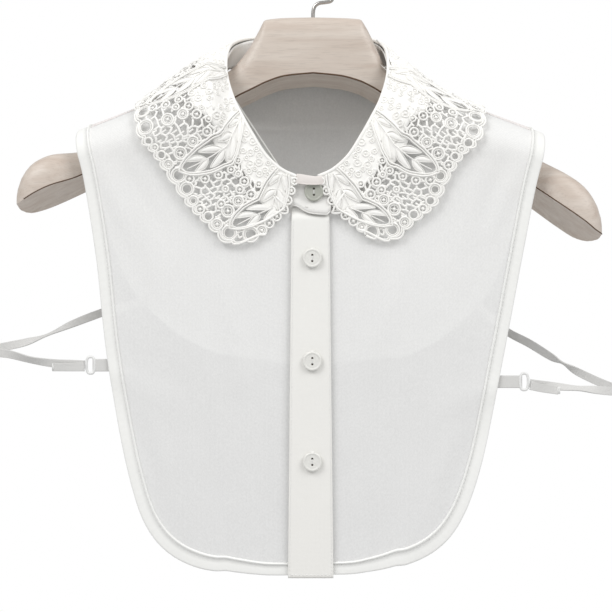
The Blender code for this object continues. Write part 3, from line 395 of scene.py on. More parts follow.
def smooth(keys, values, at):
    """The value at `at` of a smooth curve through the rows that doesn't overshoot them."""
    steps = [(values[i + 1] - values[i]) / (keys[i + 1] - keys[i]) for i in range(len(keys) - 1)]

    def slope(i):
        if i == 0 or i == len(keys) - 1:
            return steps[min(i, len(steps) - 1)]
        before, after = steps[i - 1], steps[i]
        return 0.0 if before * after <= 0 else 2 * before * after / (before + after)

    i = min(max(bisect_right(keys, at) - 1, 0), len(keys) - 2)
    span = keys[i + 1] - keys[i]
    f = min(max((at - keys[i]) / span, 0.0), 1.0)
    start, end = values[i], values[i + 1]
    lean_in, lean_out = slope(i) * span, slope(i + 1) * span
    return (
        (2 * f**3 - 3 * f**2 + 1) * start
        + (f**3 - 2 * f**2 + f) * lean_in
        + (3 * f**2 - 2 * f**3) * end
        + (f**3 - f**2) * lean_out
    )


def row_at(rows, at):
    keys = [row[0] for row in rows]
    return type(rows[0])(*[smooth(keys, column, at) for column in zip(*rows)])


def run_along(line):
    """How far along a line each of its points lies."""
    return np.concatenate([[0], np.cumsum(np.linalg.norm(np.diff(line, axis=0), axis=1))])


def curve_through(points, shares):
    """Points on a smooth curve through `points`, at these shares of its length, or shares + 1
    evenly spaced ones where it is a number."""
    rows = np.array(points, float)
    rows = np.vstack([2 * rows[0] - rows[1], rows, 2 * rows[-1] - rows[-2]])
    fine = []
    for i in range(1, len(rows) - 2):
        a, b, c, d = rows[i - 1 : i + 3]
        f = np.linspace(0, 1, 24, endpoint=False)[:, None]
        bend, twist = 2 * a - 5 * b + 4 * c - d, 3 * b - a - 3 * c + d
        fine.append(0.5 * (2 * b + (c - a) * f + bend * f**2 + twist * f**3))
    fine = np.vstack(fine + [rows[-2:-1]])
    length = run_along(fine)
    at = length[-1] * (np.linspace(0, 1, shares + 1) if isinstance(shares, int) else np.asarray(shares))
    return np.stack([np.interp(at, length, column) for column in fine.T], axis=1)


def unit(vectors):
    return vectors / np.maximum(np.linalg.norm(vectors, axis=-1, keepdims=True), 1e-9)


def ease(share):
    """0 to 1, starting and ending gently."""
    return share * share * (3 - 2 * share)


SHOULDER_REACH = np.arange(0, SHOULDER[-1].reach, 1.0)
SHOULDER_FINE = np.array([row_at(SHOULDER, reach) for reach in SHOULDER_REACH])


def cloth(x, w):
    """The cloth's middle surface, for arrays. w is the drop below the ridge, negative behind."""
    x, w = np.broadcast_arrays(np.asarray(x, float), np.asarray(w, float))
    reach = np.abs(x - CENTRE_X)
    read = [np.interp(reach, SHOULDER_REACH, column) for column in SHOULDER_FINE.T]
    _, ridge_y, left_z, right_z, front_y, front_drop, back_y, back_drop = read
    ridge_z = np.where(x < CENTRE_X, left_z, right_z)
    run = np.where(w >= 0, front_y, back_y) - ridge_y
    drop = np.where(w >= 0, front_drop, back_drop)
    turn = np.minimum(np.abs(w) / drop, 1) * math.pi / 2
    below = np.maximum(np.abs(w) - drop, 0)
    z = ridge_z - drop * (1 - np.cos(turn)) - below
    return np.stack([x, ridge_y + run * np.sin(turn), z], axis=-1)


def cloth_out(x, w):
    """The cloth's outward unit normal."""
    x, w = np.broadcast_arrays(np.asarray(x, float), np.asarray(w, float))
    step = 0.5
    face = np.where(w >= 0, 1.0, -1.0)
    across = cloth(x + step, w) - cloth(x - step, w)
    down = cloth(x, (np.abs(w) + step) * face) - cloth(x, np.maximum(np.abs(w) - step, 1e-6) * face)
    return unit(np.cross(across, down)) * -face[..., None]


def on_cloth(x, w, out):
    return cloth(x, w) + cloth_out(x, w) * np.asarray(out, float)[..., None]


def cloth_w(x, z, face):
    """The w of the front (1), ridge (0) or back (-1) point at this height."""
    if face == 0:
        return 0.0
    reach = min(abs(x - CENTRE_X), SHOULDER_REACH[-1])
    _, _, left_z, right_z, _, front_drop, _, back_drop = [
        float(np.interp(reach, SHOULDER_REACH, column)) for column in SHOULDER_FINE.T
    ]
    drop = front_drop if face > 0 else back_drop
    below = max((left_z if x < CENTRE_X else right_z) - z, 0.0)
    if below < drop:
        below = drop * math.acos(1 - below / drop) / (math.pi / 2)
    return face * below


def seam_point(row, side):
    x = CENTRE_X + side * row.seam_x
    return np.array([x, cloth_w(x, row.seam_z, row.seam_face)])


def foot_point(row, side):
    x, w = seam_point(row, side)
    if row.seam_face == 0:
        return cloth(x, w) + np.array([0, 0, SEAM_GAP])
    inward = unit(np.array([NECK_X - x, cloth_w(x, -150.0, 1) - w]))
    x, w = np.array([x, w]) + inward * SEAM_GAP
    return cloth(x, w)


class Fall:
    """The collar's fall, for arrays of shares along the neck and of its width."""

    def __init__(self, side):
        self.side = side
        rows = []
        for row, drape in zip(NECK, DRAPE):
            seam = seam_point(row, side)
            fold = (NECK_X + side * row.half_x, row.fold_y, row.fold_z)
            x, z = (row.left_x, row.left_z) if side < 0 else (row.right_x, row.right_z)
            roll = drape.left_roll if side < 0 else drape.right_roll
            landing = (CENTRE_X + side * drape.land_x, seam[1] + drape.past)
            edge = (x, cloth_w(x, z, row.edge_face))
            rows.append([*fold, *landing, *edge, drape.seam_out * 50, roll, *foot_point(row, side)])
        self.table = curve_through(rows, 96)
        self.share = np.linspace(0, 1, 97)
        self.shares = np.linspace(-0.06, 1, 637)
        self.outs = np.linspace(0, 1.1, 111)
        within = np.maximum(self.shares, 0)[:, None]
        grid = self.exact(within, self.outs[None, :])
        lead = (self.exact(0.02, self.outs) - self.exact(0.0, self.outs)) / 0.02
        grid = grid + lead[None] * np.minimum(self.shares, 0)[:, None, None]
        ahead = np.gradient(grid, self.shares, axis=0)
        away = np.gradient(grid, self.outs, axis=1)
        self.grid = np.concatenate(
            [grid, unit(np.cross(ahead, away)) * -side, np.linalg.norm(ahead, axis=2)[..., None]], axis=2
        )

    def read(self, share):
        return [np.interp(share, self.share, column) for column in self.table.T]

    def exact(self, share, out):
        share, out = np.broadcast_arrays(np.asarray(share, float), np.asarray(out, float))
        table = self.read(share)
        fold = np.stack(table[:3], axis=-1)
        land_x, land_w, edge_x, edge_w, seam_out, roll = table[3:9]
        seam_out = seam_out / 50
        clear = CLOTH_WALL / 2 + LACE_WALL / 2 + LACE_CLEAR
        over = on_cloth(land_x, land_w, clear + roll)
        f = (out / seam_out)[..., None]
        inner = fold + (over - fold) * f
        t = np.maximum((out - seam_out) / (1 - seam_out), 0)
        left = np.maximum(1 - t, 0)
        lift = left ** FALL_POWER[self.side] + FALL_ARCH[self.side] * np.sin(math.pi * (1 - left))
        x, w = land_x + (edge_x - land_x) * t, land_w + (edge_w - land_w) * t
        outer = on_cloth(x, w, clear + roll * lift)
        return np.where((out < seam_out)[..., None], inner, outer)

    def look(self, share, out, first, last):
        """Columns of the fine grid at these places: the point, its normal or the length of a share."""
        share, out = np.broadcast_arrays(np.asarray(share, float), np.asarray(out, float))
        i = np.clip((share - self.shares[0]) / (1 - self.shares[0]), 0, 0.99999) * (len(self.shares) - 1)
        j = np.clip(out / self.outs[-1], 0, 0.99999) * (len(self.outs) - 1)
        a, b = i.astype(int), j.astype(int)
        f, g = (i - a)[..., None], (j - b)[..., None]
        grid = self.grid[..., first:last]
        low = grid[a, b] * (1 - g) + grid[a, b + 1] * g
        high = grid[a + 1, b] * (1 - g) + grid[a + 1, b + 1] * g
        return low * (1 - f) + high * f

    def point(self, share, out):
        return self.look(share, out, 0, 3)

    def normal(self, share, out):
        return unit(self.look(share, out, 3, 6))

    def along_at(self, share, out):
        """Millimetres of lace for one whole share."""
        return self.look(share, out, 6, 7)[..., 0]

    def steps_at(self, share, out):
        """How the place moves for a whole share and for a whole width, at one place on the fall."""
        share, h = min(max(share, 0.01), 0.99), 0.008
        ahead = self.point(share + h, out) - self.point(share - h, out)
        away = self.point(share, out + h) - self.point(share, out - h)
        return np.stack([ahead, away]) / (2 * h)

    def around(self, share, out, aside, away):
        """Shares and outs of places that lie this many millimetres from one, square to each other."""
        steps = self.steps_at(share, out)
        first = unit(steps[0])
        second = unit(steps[1] - first * steps[1].dot(first))
        frame = np.stack([first, second], axis=1)
        back = np.linalg.inv(steps @ frame)
        middle = self.point(share, out)
        target = np.stack([aside, away], axis=1)
        place = np.array([[share, out]]) + target @ back
        for _ in range(4):
            miss = target - (self.point(place[:, 0], place[:, 1]) - middle) @ frame
            place = place + miss @ back
        return place[:, 0], place[:, 1]

    def place(self, share, u, v):
        """The share and out of a place u millimetres along from a share and v out from the fold."""
        out = np.asarray(v, float) / LACE_WIDTH
        share, out = np.broadcast_arrays(np.asarray(share, float), out)
        return share + u / self.along_at(share, out), out


def spread(count):
    return np.linspace(0, 1, count + 1) ** ROW_SPREAD


def inset(outline, width):
    """The flat outline moved inwards; its ends slide along the lines that they lie on."""
    lean = unit(np.gradient(outline, axis=0))
    normal = np.stack([-lean[:, 1], lean[:, 0]], axis=1)
    if ((outline.mean(axis=0) - outline) * normal).sum() < 0:
        normal = -normal
    moved = outline + normal * width
    moved[0, 1] = outline[0, 1]
    end = 0 if abs(lean[-1, 0]) > abs(lean[-1, 1]) else 1
    moved[-1, end] = outline[-1, end]
    return moved


def coons(top, bottom, inner, outer):
    u = np.linspace(0, 1, len(top))[None, :, None]
    v = spread(len(inner) - 1)[:, None, None]
    ruled = (1 - v) * top[None] + v * bottom[None] + (1 - u) * inner[:, None] + u * outer[:, None]
    corners = (
        (1 - u) * (1 - v) * top[0] + u * (1 - v) * top[-1] + (1 - u) * v * bottom[0] + u * v * bottom[-1]
    )
    return ruled - corners


def grid_faces(rows, columns):
    starts = [r * columns + c for r in range(rows - 1) for c in range(columns - 1)]
    return [(a, a + 1, a + columns + 1, a + columns) for a in starts]


def loft_faces(rows, count, inward=False):
    """The faces of a tube through rows of `count` points each, shut at both ends."""
    way = -1 if inward else 1
    faces = []
    for r in range(rows - 1):
        for k in range(count):
            a, b = r * count + k, r * count + (k + 1) % count
            faces.append((a, a + count, b + count, b) if inward else (a, b, b + count, a + count))
    faces.append(tuple(range(count))[::-way])
    faces.append(tuple(range((rows - 1) * count, rows * count))[::way])
    return faces


def put(name, data):
    """A new object in the scene."""
    made = bpy.data.objects.new(name, data)
    bpy.context.scene.collection.objects.link(made)
    return made


def piece(name, points, faces, finish, replaces=(), uv=None):
    """A shown piece: points in millimetres, and the nodes that it stands for."""
    mesh = bpy.data.meshes.new(name)
    mesh.from_pydata((np.asarray(points, float) * MM).tolist(), [], faces)
    mesh.materials.append(finish)
    if uv is not None:
        layer = mesh.uv_layers.new(name="UVMap")
        index = np.empty(len(mesh.loops), np.int32)
        mesh.loops.foreach_get("vertex_index", index)
        layer.data.foreach_set("uv", np.asarray(uv, float)[index].ravel())
    mesh.shade_smooth()
    made = put(name, mesh)
    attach(made, "root")
    if replaces:
        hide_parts(*replaces)
    return made


def thicken(made, wall):
    skin = made.modifiers.new("wall", "SOLIDIFY")
    skin.thickness = wall * MM
    skin.offset = 0


class Threads:
    """Gathers tubes of any section into the points and faces of one mesh."""

    def __init__(self):
        self.points, self.faces, self.uvs, self.count = [], [], [], 0

    def tube(self, line, up, wide, high=None, sides=6, closed=False):
        """line is the tube's points, and up the direction that each or all of them rise in; wide
        and high are the half width and half height, for the whole tube or for each point."""
        line, up = np.asarray(line, float), np.asarray(up, float)
        n = len(line)
        wide = np.broadcast_to(np.asarray(wide, float), n)
        high = wide if high is None else np.broadcast_to(np.asarray(high, float), n)
        if closed:
            lean = np.roll(line, -1, axis=0) - np.roll(line, 1, axis=0)
        else:
            lean = np.gradient(line, axis=0)
        lean = unit(lean)
        beside = unit(np.cross(up, lean))
        rise = np.cross(lean, beside)
        angle = 2 * math.pi * np.arange(sides) / sides
        ring = (
            beside[:, None] * (wide[:, None] * np.cos(angle))[..., None]
            + rise[:, None] * (high[:, None] * np.sin(angle))[..., None]
        )
        self.points.append((line[:, None] + ring).reshape(-1, 3))
        run = run_along(line)
        uv = np.stack(np.broadcast_arrays(run[:, None], angle[None, :] / (2 * math.pi)), axis=-1)
        self.uvs.append(uv.reshape(-1, 2))
        last = n if closed else n - 1
        i, k = np.meshgrid(np.arange(last), np.arange(sides), indexing="ij")
        j, m = (i + 1) % n, (k + 1) % sides
        quads = np.stack([i * sides + k, i * sides + m, j * sides + m, j * sides + k], axis=-1)
        self.faces += (quads.reshape(-1, 4) + self.count).tolist()
        if not closed:
            first = np.arange(sides) + self.count
            self.faces.append(first[::-1].tolist())
            self.faces.append((first + (n - 1) * sides).tolist())
        self.count += n * sides

    def bead(self, centre, up, radius, high):
        """A low round knot."""
        up = unit(np.asarray(up, float))
        beside = unit(np.cross(up, [0.3, 1.0, 0.2]))
        rise = np.linspace(-1, 1, 5)
        line = centre + up * rise[:, None] * high
        wide = radius * np.sqrt(np.maximum(1 - rise**2, 0.06))
        self.tube(line, beside, wide, sides=8)

    def made(self, name, finish, slot, replaces=()):
        points, uvs = np.concatenate(self.points), np.concatenate(self.uvs)
        return piece(name, points, self.faces, finish, replaces, uvs)


def stitches(threads, line, up, length=1.9, gap=0.7, radius=0.24, sink=0.05):
    """A row of sewn stitches along a line on the cloth, each one bulging a little."""
    line = np.asarray(line, float)
    up = np.broadcast_to(np.asarray(up, float), line.shape)
    run = run_along(line)
    count = max(int(run[-1] // (length + gap)), 1)
    pitch = run[-1] / count
    arch = np.array([-1.0, 0.45, 1.0, 0.45, -1.0])
    for i in range(count):
        at = i * pitch + np.linspace(gap / 2, pitch - gap / 2, 5)
        centre = np.stack([np.interp(at, run, c) for c in line.T], axis=1)
        rise = np.stack([np.interp(at, run, c) for c in up.T], axis=1)
        centre = centre + rise * (arch * radius * 0.5 - sink)[:, None]
        threads.tube(centre, rise, radius * np.array([0.6, 0.95, 1.0, 0.95, 0.6]), sides=5)


def material(name):
    """A new material, its nodes and its Principled shader."""
    made = bpy.data.materials.new(name)
    made.use_nodes = True
    tree = made.node_tree
    return made, tree, tree.nodes["Principled BSDF"]


def node(tree, kind, **settings):
    made = tree.nodes.new(kind)
    for key, value in settings.items():
        setattr(made, key, value)
    return made


def link(tree, source, target):
    tree.links.new(source, target)


def scaled(tree, kind, scale, vector=None, size=1.0, **inputs):
    """A texture node over the object's own millimetres, or over `vector`, stretched by `scale`."""
    texture = node(tree, kind)
    mapping = node(tree, "ShaderNodeMapping")
    mapping.inputs["Scale"].default_value = scale
    if vector is None:
        vector = node(tree, "ShaderNodeTexCoord").outputs["Object"]
    link(tree, vector, mapping.inputs["Vector"])
    link(tree, mapping.outputs["Vector"], texture.inputs["Vector"])
    texture.inputs["Scale"].default_value = size
    for key, value in inputs.items():
        texture.inputs[key.replace("_", " ")].default_value = value
    return texture


def ramp(tree, factor, stops):
    """A colour ramp with (position, colour) stops."""
    made = node(tree, "ShaderNodeValToRGB")
    elements = made.color_ramp.elements
    while len(elements) < len(stops):
        elements.new(0.5)
    for element, (at, colour) in zip(elements, stops):
        element.position = at
        element.color = (*colour, 1.0) if isinstance(colour, tuple) else (colour, colour, colour, 1.0)
    link(tree, factor, made.inputs["Fac"])
    return made.outputs["Color"]


def tinted(tree, first, second):
    """One colour times another."""
    made = node(tree, "ShaderNodeMix", data_type="RGBA", blend_type="MULTIPLY")
    made.inputs["Factor"].default_value = 1.0
    link(tree, first, made.inputs["A"])
    link(tree, second, made.inputs["B"])
    return made.outputs["Result"]


def ranged(tree, value, **ends):
    """A value moved from one range to another."""
    made = node(tree, "ShaderNodeMapRange")
    for key, end in ends.items():
        made.inputs[key.replace("_", " ")].default_value = end
    link(tree, value, made.inputs["Value"])
    return made.outputs[0]


def maths(tree, operation, first, second=0.0, third=0.0):
    made = node(tree, "ShaderNodeMath", operation=operation)
    for socket, value in zip(made.inputs, (first, second, third)):
        if isinstance(value, (int, float)):
            socket.default_value = value
        else:
            link(tree, value, socket)
    return made.outputs[0]


def bump(tree, shader, height, strength, distance=0.0003, after=None):
    made = node(tree, "ShaderNodeBump")
    made.inputs["Strength"].default_value = strength
    made.inputs["Distance"].default_value = distance
    link(tree, height, made.inputs["Height"])
    if after is not None:
        link(tree, after, made.inputs["Normal"])
    link(tree, made.outputs["Normal"], shader.inputs["Normal"])
    return made.outputs["Normal"]


def weave(tree, pitch):
    """The height of a plain weave over the piece's own flat millimetres."""
    flat = node(tree, "ShaderNodeTexCoord").outputs["UV"]
    split = node(tree, "ShaderNodeSeparateXYZ")
    link(tree, flat, split.inputs[0])
    turns = 2 * math.pi / pitch
    waves = [
        maths(tree, "SINE", maths(tree, "MULTIPLY", split.outputs[axis], turns)) for axis in ("X", "Y")
    ]
    return maths(tree, "MULTIPLY_ADD", maths(tree, "ADD", *waves), 0.25, 0.5)


def cloth_finish(name, colour, cover=1.0, low_painted_light_colour=None, low_cover=None, pitch=0.9):
    """Cloth whose colour and cover may change from the shoulder to the hem, as painted light and shade from
    top to hem; a cover below 1 is sheer and lets light through between its threads."""
    made, tree, shader = material(name)
    height = weave(tree, pitch)
    place = node(tree, "ShaderNodeSeparateXYZ")
    link(tree, node(tree, "ShaderNodeTexCoord").outputs["Object"], place.inputs[0])
    down = ranged(tree, place.outputs["Z"], From_Min=SHOULDER_Z, From_Max=LOW_Z)
    cloud = scaled(tree, "ShaderNodeTexNoise", (1, 1, 1), size=38.0, Detail=3.0)
    slub = scaled(tree, "ShaderNodeTexNoise", (900, 900, 700), size=1.0, Detail=2.0)
    # The blend from the shoulder colour to the low one is painted light and shade: the cloth lighter or
    # darker towards the hem because of how the light falls.
    tint = node(tree, "ShaderNodeMix", data_type="RGBA")
    tint.inputs["A"].default_value = (*colour, 1)
    tint.inputs["B"].default_value = (*(low_painted_light_colour or colour), 1)
    link(tree, down, tint.inputs["Factor"])
    mottle = maths(tree, "ADD", cloud.outputs["Fac"], slub.outputs["Fac"])
    mottle = ramp(tree, maths(tree, "MULTIPLY", mottle, 0.5), [(0.3, 0.97), (0.7, 1.0)])
    link(tree, tinted(tree, tint.outputs["Result"], mottle), shader.inputs["Base Color"])
    shader.inputs["Roughness"].default_value = 0.8
    if cover < 1:
        # The cover changes with height too, letting more of the dark backdrop through where the cloth
        # should look shaded: painted shade.
        base = ranged(tree, down, To_Min=cover, To_Max=low_cover or cover)
        thread = maths(tree, "MULTIPLY_ADD", height, 0.10, -0.05)
        thick = maths(tree, "MULTIPLY_ADD", slub.outputs["Fac"], 0.10, -0.05)
        alpha = maths(tree, "ADD", base, maths(tree, "ADD", thread, thick))
        link(tree, alpha, shader.inputs["Alpha"])
    crinkle = scaled(tree, "ShaderNodeTexNoise", (1, 1, 1), size=260.0, Detail=3.0)
    first = bump(tree, shader, crinkle.outputs["Fac"], 0.25, 0.0004)
    bump(tree, shader, height, 0.35, 0.0001, first)
    return made


def thread_finish(name, colour, twist=0.0, rough=0.75):
    """Twisted thread or satin stitch, with slanting strands along each cord."""
    made, tree, shader = material(name)
    flat = node(tree, "ShaderNodeTexCoord").outputs["UV"]
    split = node(tree, "ShaderNodeSeparateXYZ")
    link(tree, flat, split.inputs[0])
    phase = maths(tree, "MULTIPLY_ADD", split.outputs["X"], 2 * math.pi / 0.9, 0.0)
    turn = maths(tree, "MULTIPLY", split.outputs["Y"], 2 * math.pi * twist)
    strand = maths(tree, "MULTIPLY_ADD", maths(tree, "SINE", maths(tree, "ADD", phase, turn)), 0.5, 0.5)
    cloud = scaled(tree, "ShaderNodeTexNoise", (1, 1, 1), size=900.0, Detail=2.0)
    shade = ramp(tree, strand, [(0.0, tuple(0.86 * c for c in colour)), (0.6, colour)])
    link(tree, shade, shader.inputs["Base Color"])
    shader.inputs["Roughness"].default_value = rough
    first = bump(tree, shader, cloud.outputs["Fac"], 0.2, 0.0001)
    bump(tree, shader, strand, 0.5, 0.0001, first)
    return made


def wood_finish():
    made, tree, shader = material("pale_wood")
    grain = scaled(tree, "ShaderNodeTexNoise", (14, 210, 160), size=1.0, Detail=5.0, Distortion=0.4)
    pore = scaled(tree, "ShaderNodeTexNoise", (90, 1600, 1500), size=1.0, Detail=2.0)
    colour = ramp(
        tree, grain.outputs["Fac"],
        [(0.30, (0.54, 0.455, 0.39)), (0.5, (0.595, 0.52, 0.455)), (0.70, (0.645, 0.575, 0.51))],
    )
    fleck = ramp(tree, pore.outputs["Fac"], [(0.36, 0.91), (0.46, 1.0)])
    link(tree, tinted(tree, colour, fleck), shader.inputs["Base Color"])
    shader.inputs["Roughness"].default_value = 0.42
    bump(tree, shader, grain.outputs["Fac"], 0.12, 0.0002)
    return made


def plain_finish(name, colour, rough, metallic=0.0, size=600.0, strength=0.05):
    """A material of one colour with a faint unevenness of surface."""
    made, tree, shader = material(name)
    cloud = scaled(tree, "ShaderNodeTexNoise", (1, 1, 1), size=size, Detail=3.0)
    low = tuple(0.93 * c for c in colour)
    link(tree, ramp(tree, cloud.outputs["Fac"], [(0.35, low), (0.65, colour)]), shader.inputs["Base Color"])
    shader.inputs["Roughness"].default_value = rough
    shader.inputs["Metallic"].default_value = metallic
    bump(tree, shader, cloud.outputs["Fac"], strength, 0.0002)
    return made


def crease_height(x, w, creases):
    """How far the creases lift the cloth at each place; they fade out towards the ridge."""
    z = cloth(x, w)[..., 2]
    height = np.zeros(z.shape)
    for c in creases:
        dx, dz = c.x1 - c.x0, c.z1 - c.z0
        along = ((x - c.x0) * dx + (z - c.z0) * dz) / (dx * dx + dz * dz)
        near = np.clip(along, 0, 1)
        away = np.hypot(x - c.x0 - near * dx, z - c.z0 - near * dz)
        fade = np.exp(-((away / c.wide) ** 2) * 1.6)
        height += c.high * fade * (0.35 + 0.65 * np.sin(math.pi * near))
    return height * np.clip(np.abs(w) / CREASE_FADE, 0, 1)


def front_path(side):
    """The front's cut edge from the shoulder tip to the hem at the placket, in cloth coordinates."""
    inner_x = CENTRE_X - 8.0 + (GAP if side > 0 else -GAP)
    edge = [(p.x, cloth_w(p.x, p.z, 1)) for p in FRONT_EDGES[side]]
    return [(CENTRE_X + side * TIP_REACH, GAP), *edge, (inner_x, cloth_w(inner_x, HEM_Z, 1))]


def front_flat(side, across, down, neck_steps):
    """The front's flat grid."""
    path = front_path(side)
    inner_x = path[-1][0]
    shares = np.append(spread(down) * FRONT_SIDE, np.linspace(FRONT_SIDE, 1, across + 1)[1:])
    outline = curve_through(path, shares)
    neck = [seam_point(row, side) for row in NECK if row.seam_face == 1]
    neck = [np.array([inner_x, neck[0][1] + 0.6])] + neck[1 if side < 0 else 0 :]
    neck.append(np.array([CENTRE_X + side * (NECK[7].seam_x + 1.0), GAP]))
    neckline = curve_through(neck, neck_steps)
    ridge = np.linspace(neckline[-1], outline[0], across - neck_steps + 1)[1:]
    top = np.vstack([neckline, ridge])
    inner = top[0] + (outline[-1] - top[0]) * spread(down)[:, None]
    return coons(top, outline[down:][::-1], inner, outline[: down + 1])


def back_path():
    half = [(TIP_REACH, -GAP)] + [(p.x, cloth_w(CENTRE_X + p.x, p.z, -1)) for p in BACK_EDGE]
    low = cloth_w(CENTRE_X, BACK_HEM_Z, -1)
    path = [(CENTRE_X - x, w) for x, w in half] + [(CENTRE_X, low)]
    return path + [(CENTRE_X + x, w) for x, w in reversed(half)]


def back_flat(across, down):
    path = back_path()
    side = spread(down) * BACK_SIDE
    hem = np.linspace(BACK_SIDE, 1 - BACK_SIDE, across + 1)[1:-1]
    outline = curve_through(path, np.concatenate([side, hem, 1 - side[::-1]]))
    line = np.linspace(outline[0, 0], outline[-1, 0], across + 1)
    top = np.stack([line, np.full(across + 1, -GAP)], axis=1)
    return coons(
        top, outline[down : down + across + 1], outline[: down + 1], outline[down + across :][::-1]
    )


def panel(name, grid, creases, finish, replaces):
    rows, columns = grid.shape[:2]
    flat = grid.reshape(-1, 2)
    x, w = flat.T
    points = on_cloth(x, w, crease_height(x, w, creases))
    made = piece(name, points, grid_faces(rows, columns), finish, replaces, flat)
    thicken(made, SHEER_WALL)


def band(name, path, creases, finish, thread, replaces):
    """The doubled strip that wraps the panel's edge: a raised bead where it is turned over the
    cloth, then flat to the edge, with a row of stitches beside the bead."""
    outline = curve_through(path, BAND_STEPS)
    inner = inset(outline, BINDING_WIDTH)
    flat = inner[:, None] + (outline - inner)[:, None] * np.array(BAND_ACROSS)[None, :, None]
    x, w = flat[..., 0], flat[..., 1]
    pucker = 1 + BAND_PUCKER * np.sin(np.arange(len(outline)) * 1.9)[:, None]
    lift = crease_height(x, w, creases) + np.array(BAND_RISE)[None] * pucker
    points = on_cloth(x, w, lift).reshape(-1, 3)
    faces = loft_faces(len(outline), len(BAND_ACROSS))
    made = piece(name, points, faces, finish, replaces, flat.reshape(-1, 2))
    sewn = Threads()
    for share, face, height in BAND_STITCHES:
        x, w = (inner + (outline - inner) * share).T
        lift = crease_height(x, w, creases) + face * height
        stitches(sewn, on_cloth(x, w, lift), cloth_out(x, w) * face, radius=0.2)
    stitch = sewn.made(f"{name}_stitches", thread, "edge_band")


def shoulder_band(side, finish, thread):
    """The shoulder seam's turnings, which show as a second layer just below the ridge."""
    rows, columns = 9, 60
    start = CENTRE_X + side * (NECK[7].seam_x + 3.0)
    x = np.linspace(start, CENTRE_X + side * (TIP_REACH - 9.5), columns)
    w = np.linspace(-1.0, SEAM_TURNING, rows)
    grid = np.stack(np.meshgrid(x, w), axis=-1)
    rise = 0.35 + 0.25 * np.sin(np.linspace(0, math.pi, rows))[:, None] + np.zeros(columns)
    points = on_cloth(grid[..., 0], grid[..., 1], rise).reshape(-1, 3)
    name, flat = SIDES[side], grid.reshape(-1, 2)
    made = piece(f"shoulder_seam_{name}", points, grid_faces(rows, columns), finish, (), flat)
    thicken(made, SHEER_WALL)
    sewn = Threads()
    for at in (1.2, SEAM_TURNING - 1.2):
        stitches(sewn, on_cloth(x, at, 0.72), cloth_out(x, at))
    stitch = sewn.made(f"shoulder_stitches_{name}", thread, "cloth")


def upright_strip(name, corners, y, wall, finish, replaces, rows=40, bulge=0.35):
    """A flat strip with rounded long edges; corners give its left and right x at top and foot."""
    (top_left, top_right, top_z), (foot_left, foot_right, foot_z) = corners
    angle = np.linspace(0, 2 * math.pi, 24, endpoint=False)
    u = np.sign(np.cos(angle)) * np.abs(np.cos(angle)) ** bulge
    h = np.sign(np.sin(angle)) * np.abs(np.sin(angle)) ** 0.6
    v = np.linspace(0, 1, rows)[:, None]
    left, right = top_left + (foot_left - top_left) * v, top_right + (foot_right - top_right) * v
    x = (left + right) / 2 + (right - left) / 2 * u
    z = top_z + (foot_z - top_z) * v + 0 * u
    points = np.stack([x, y - h * wall / 2 + 0 * z, z], axis=-1).reshape(-1, 3)
    flat = np.stack([points[:, 0], -points[:, 2]], axis=1)
    return piece(name, points, loft_faces(rows, len(angle), True), finish, replaces, flat)


def make_placket(finish, thread):
    corners = (
        (CENTRE_X - PLACKET_TOP_HALF, CENTRE_X + PLACKET_TOP_HALF - 0.4, PLACKET_TOP_Z + PLACKET_UNDER),
        (CENTRE_X - PLACKET_HEM_HALF, CENTRE_X + PLACKET_HEM_HALF, HEM_Z - 1.0),
    )
    made = upright_strip(
        "placket_cloth", corners, PLACKET_Y, PLACKET_WALL, finish, ["placket"], 140
    )
    for vertex in made.data.vertices:
        under = min(max((vertex.co.z / MM - PLACKET_TOP_Z + 2.0) / 5.5, 0.0), 1.0)
        vertex.co.y += PLACKET_TUCK * ease(under) * MM
    sewn = Threads()
    face_y = PLACKET_Y - PLACKET_WALL / 2
    z = np.linspace(PLACKET_TOP_Z - 3.0, HEM_Z + 0.8, 40)
    half = np.interp(-z, [-PLACKET_TOP_Z, -HEM_Z + 1], [PLACKET_TOP_HALF, PLACKET_HEM_HALF])
    for side in (-1, 1):
        line = np.stack([CENTRE_X + side * (half - 1.3), np.full(40, face_y), z], axis=1)
        stitches(sewn, line, TO_VIEWER, radius=0.17, sink=0.1)
    x = np.linspace(CENTRE_X - PLACKET_HEM_HALF + 1.5, CENTRE_X + PLACKET_HEM_HALF - 1.5, 12)
    line = np.stack([x, np.full(12, face_y), np.full(12, HEM_Z + 1.4)], axis=1)
    stitches(sewn, line, TO_VIEWER)
    for height in BUTTON_HEIGHTS:
        buttonhole(sewn, BUTTON_X, face_y, height)
    stitch = sewn.made("placket_stitches", thread, "edge_band")


def buttonhole(sewn, x, y, z):
    """An upright buttonhole: close stitches down both lips and a bar across each end."""
    half = BUTTON_RADIUS - 0.9
    for at in np.arange(-half, half + 0.1, 0.62):
        for side in (-1, 1):
            line = [(x + side * 0.25, y - 0.12, z + at), (x + side * 1.35, y - 0.12, z + at)]
            sewn.tube(line, TO_VIEWER, 0.3, 0.28, 5)
    for end in (-1, 1):
        for at in (0.0, 0.55):
            line = [(x - 1.5, y - 0.16, z + end * (half + at)), (x + 1.5, y - 0.16, z + end * (half + at))]
            sewn.tube(line, TO_VIEWER, 0.32, 0.34, 5)


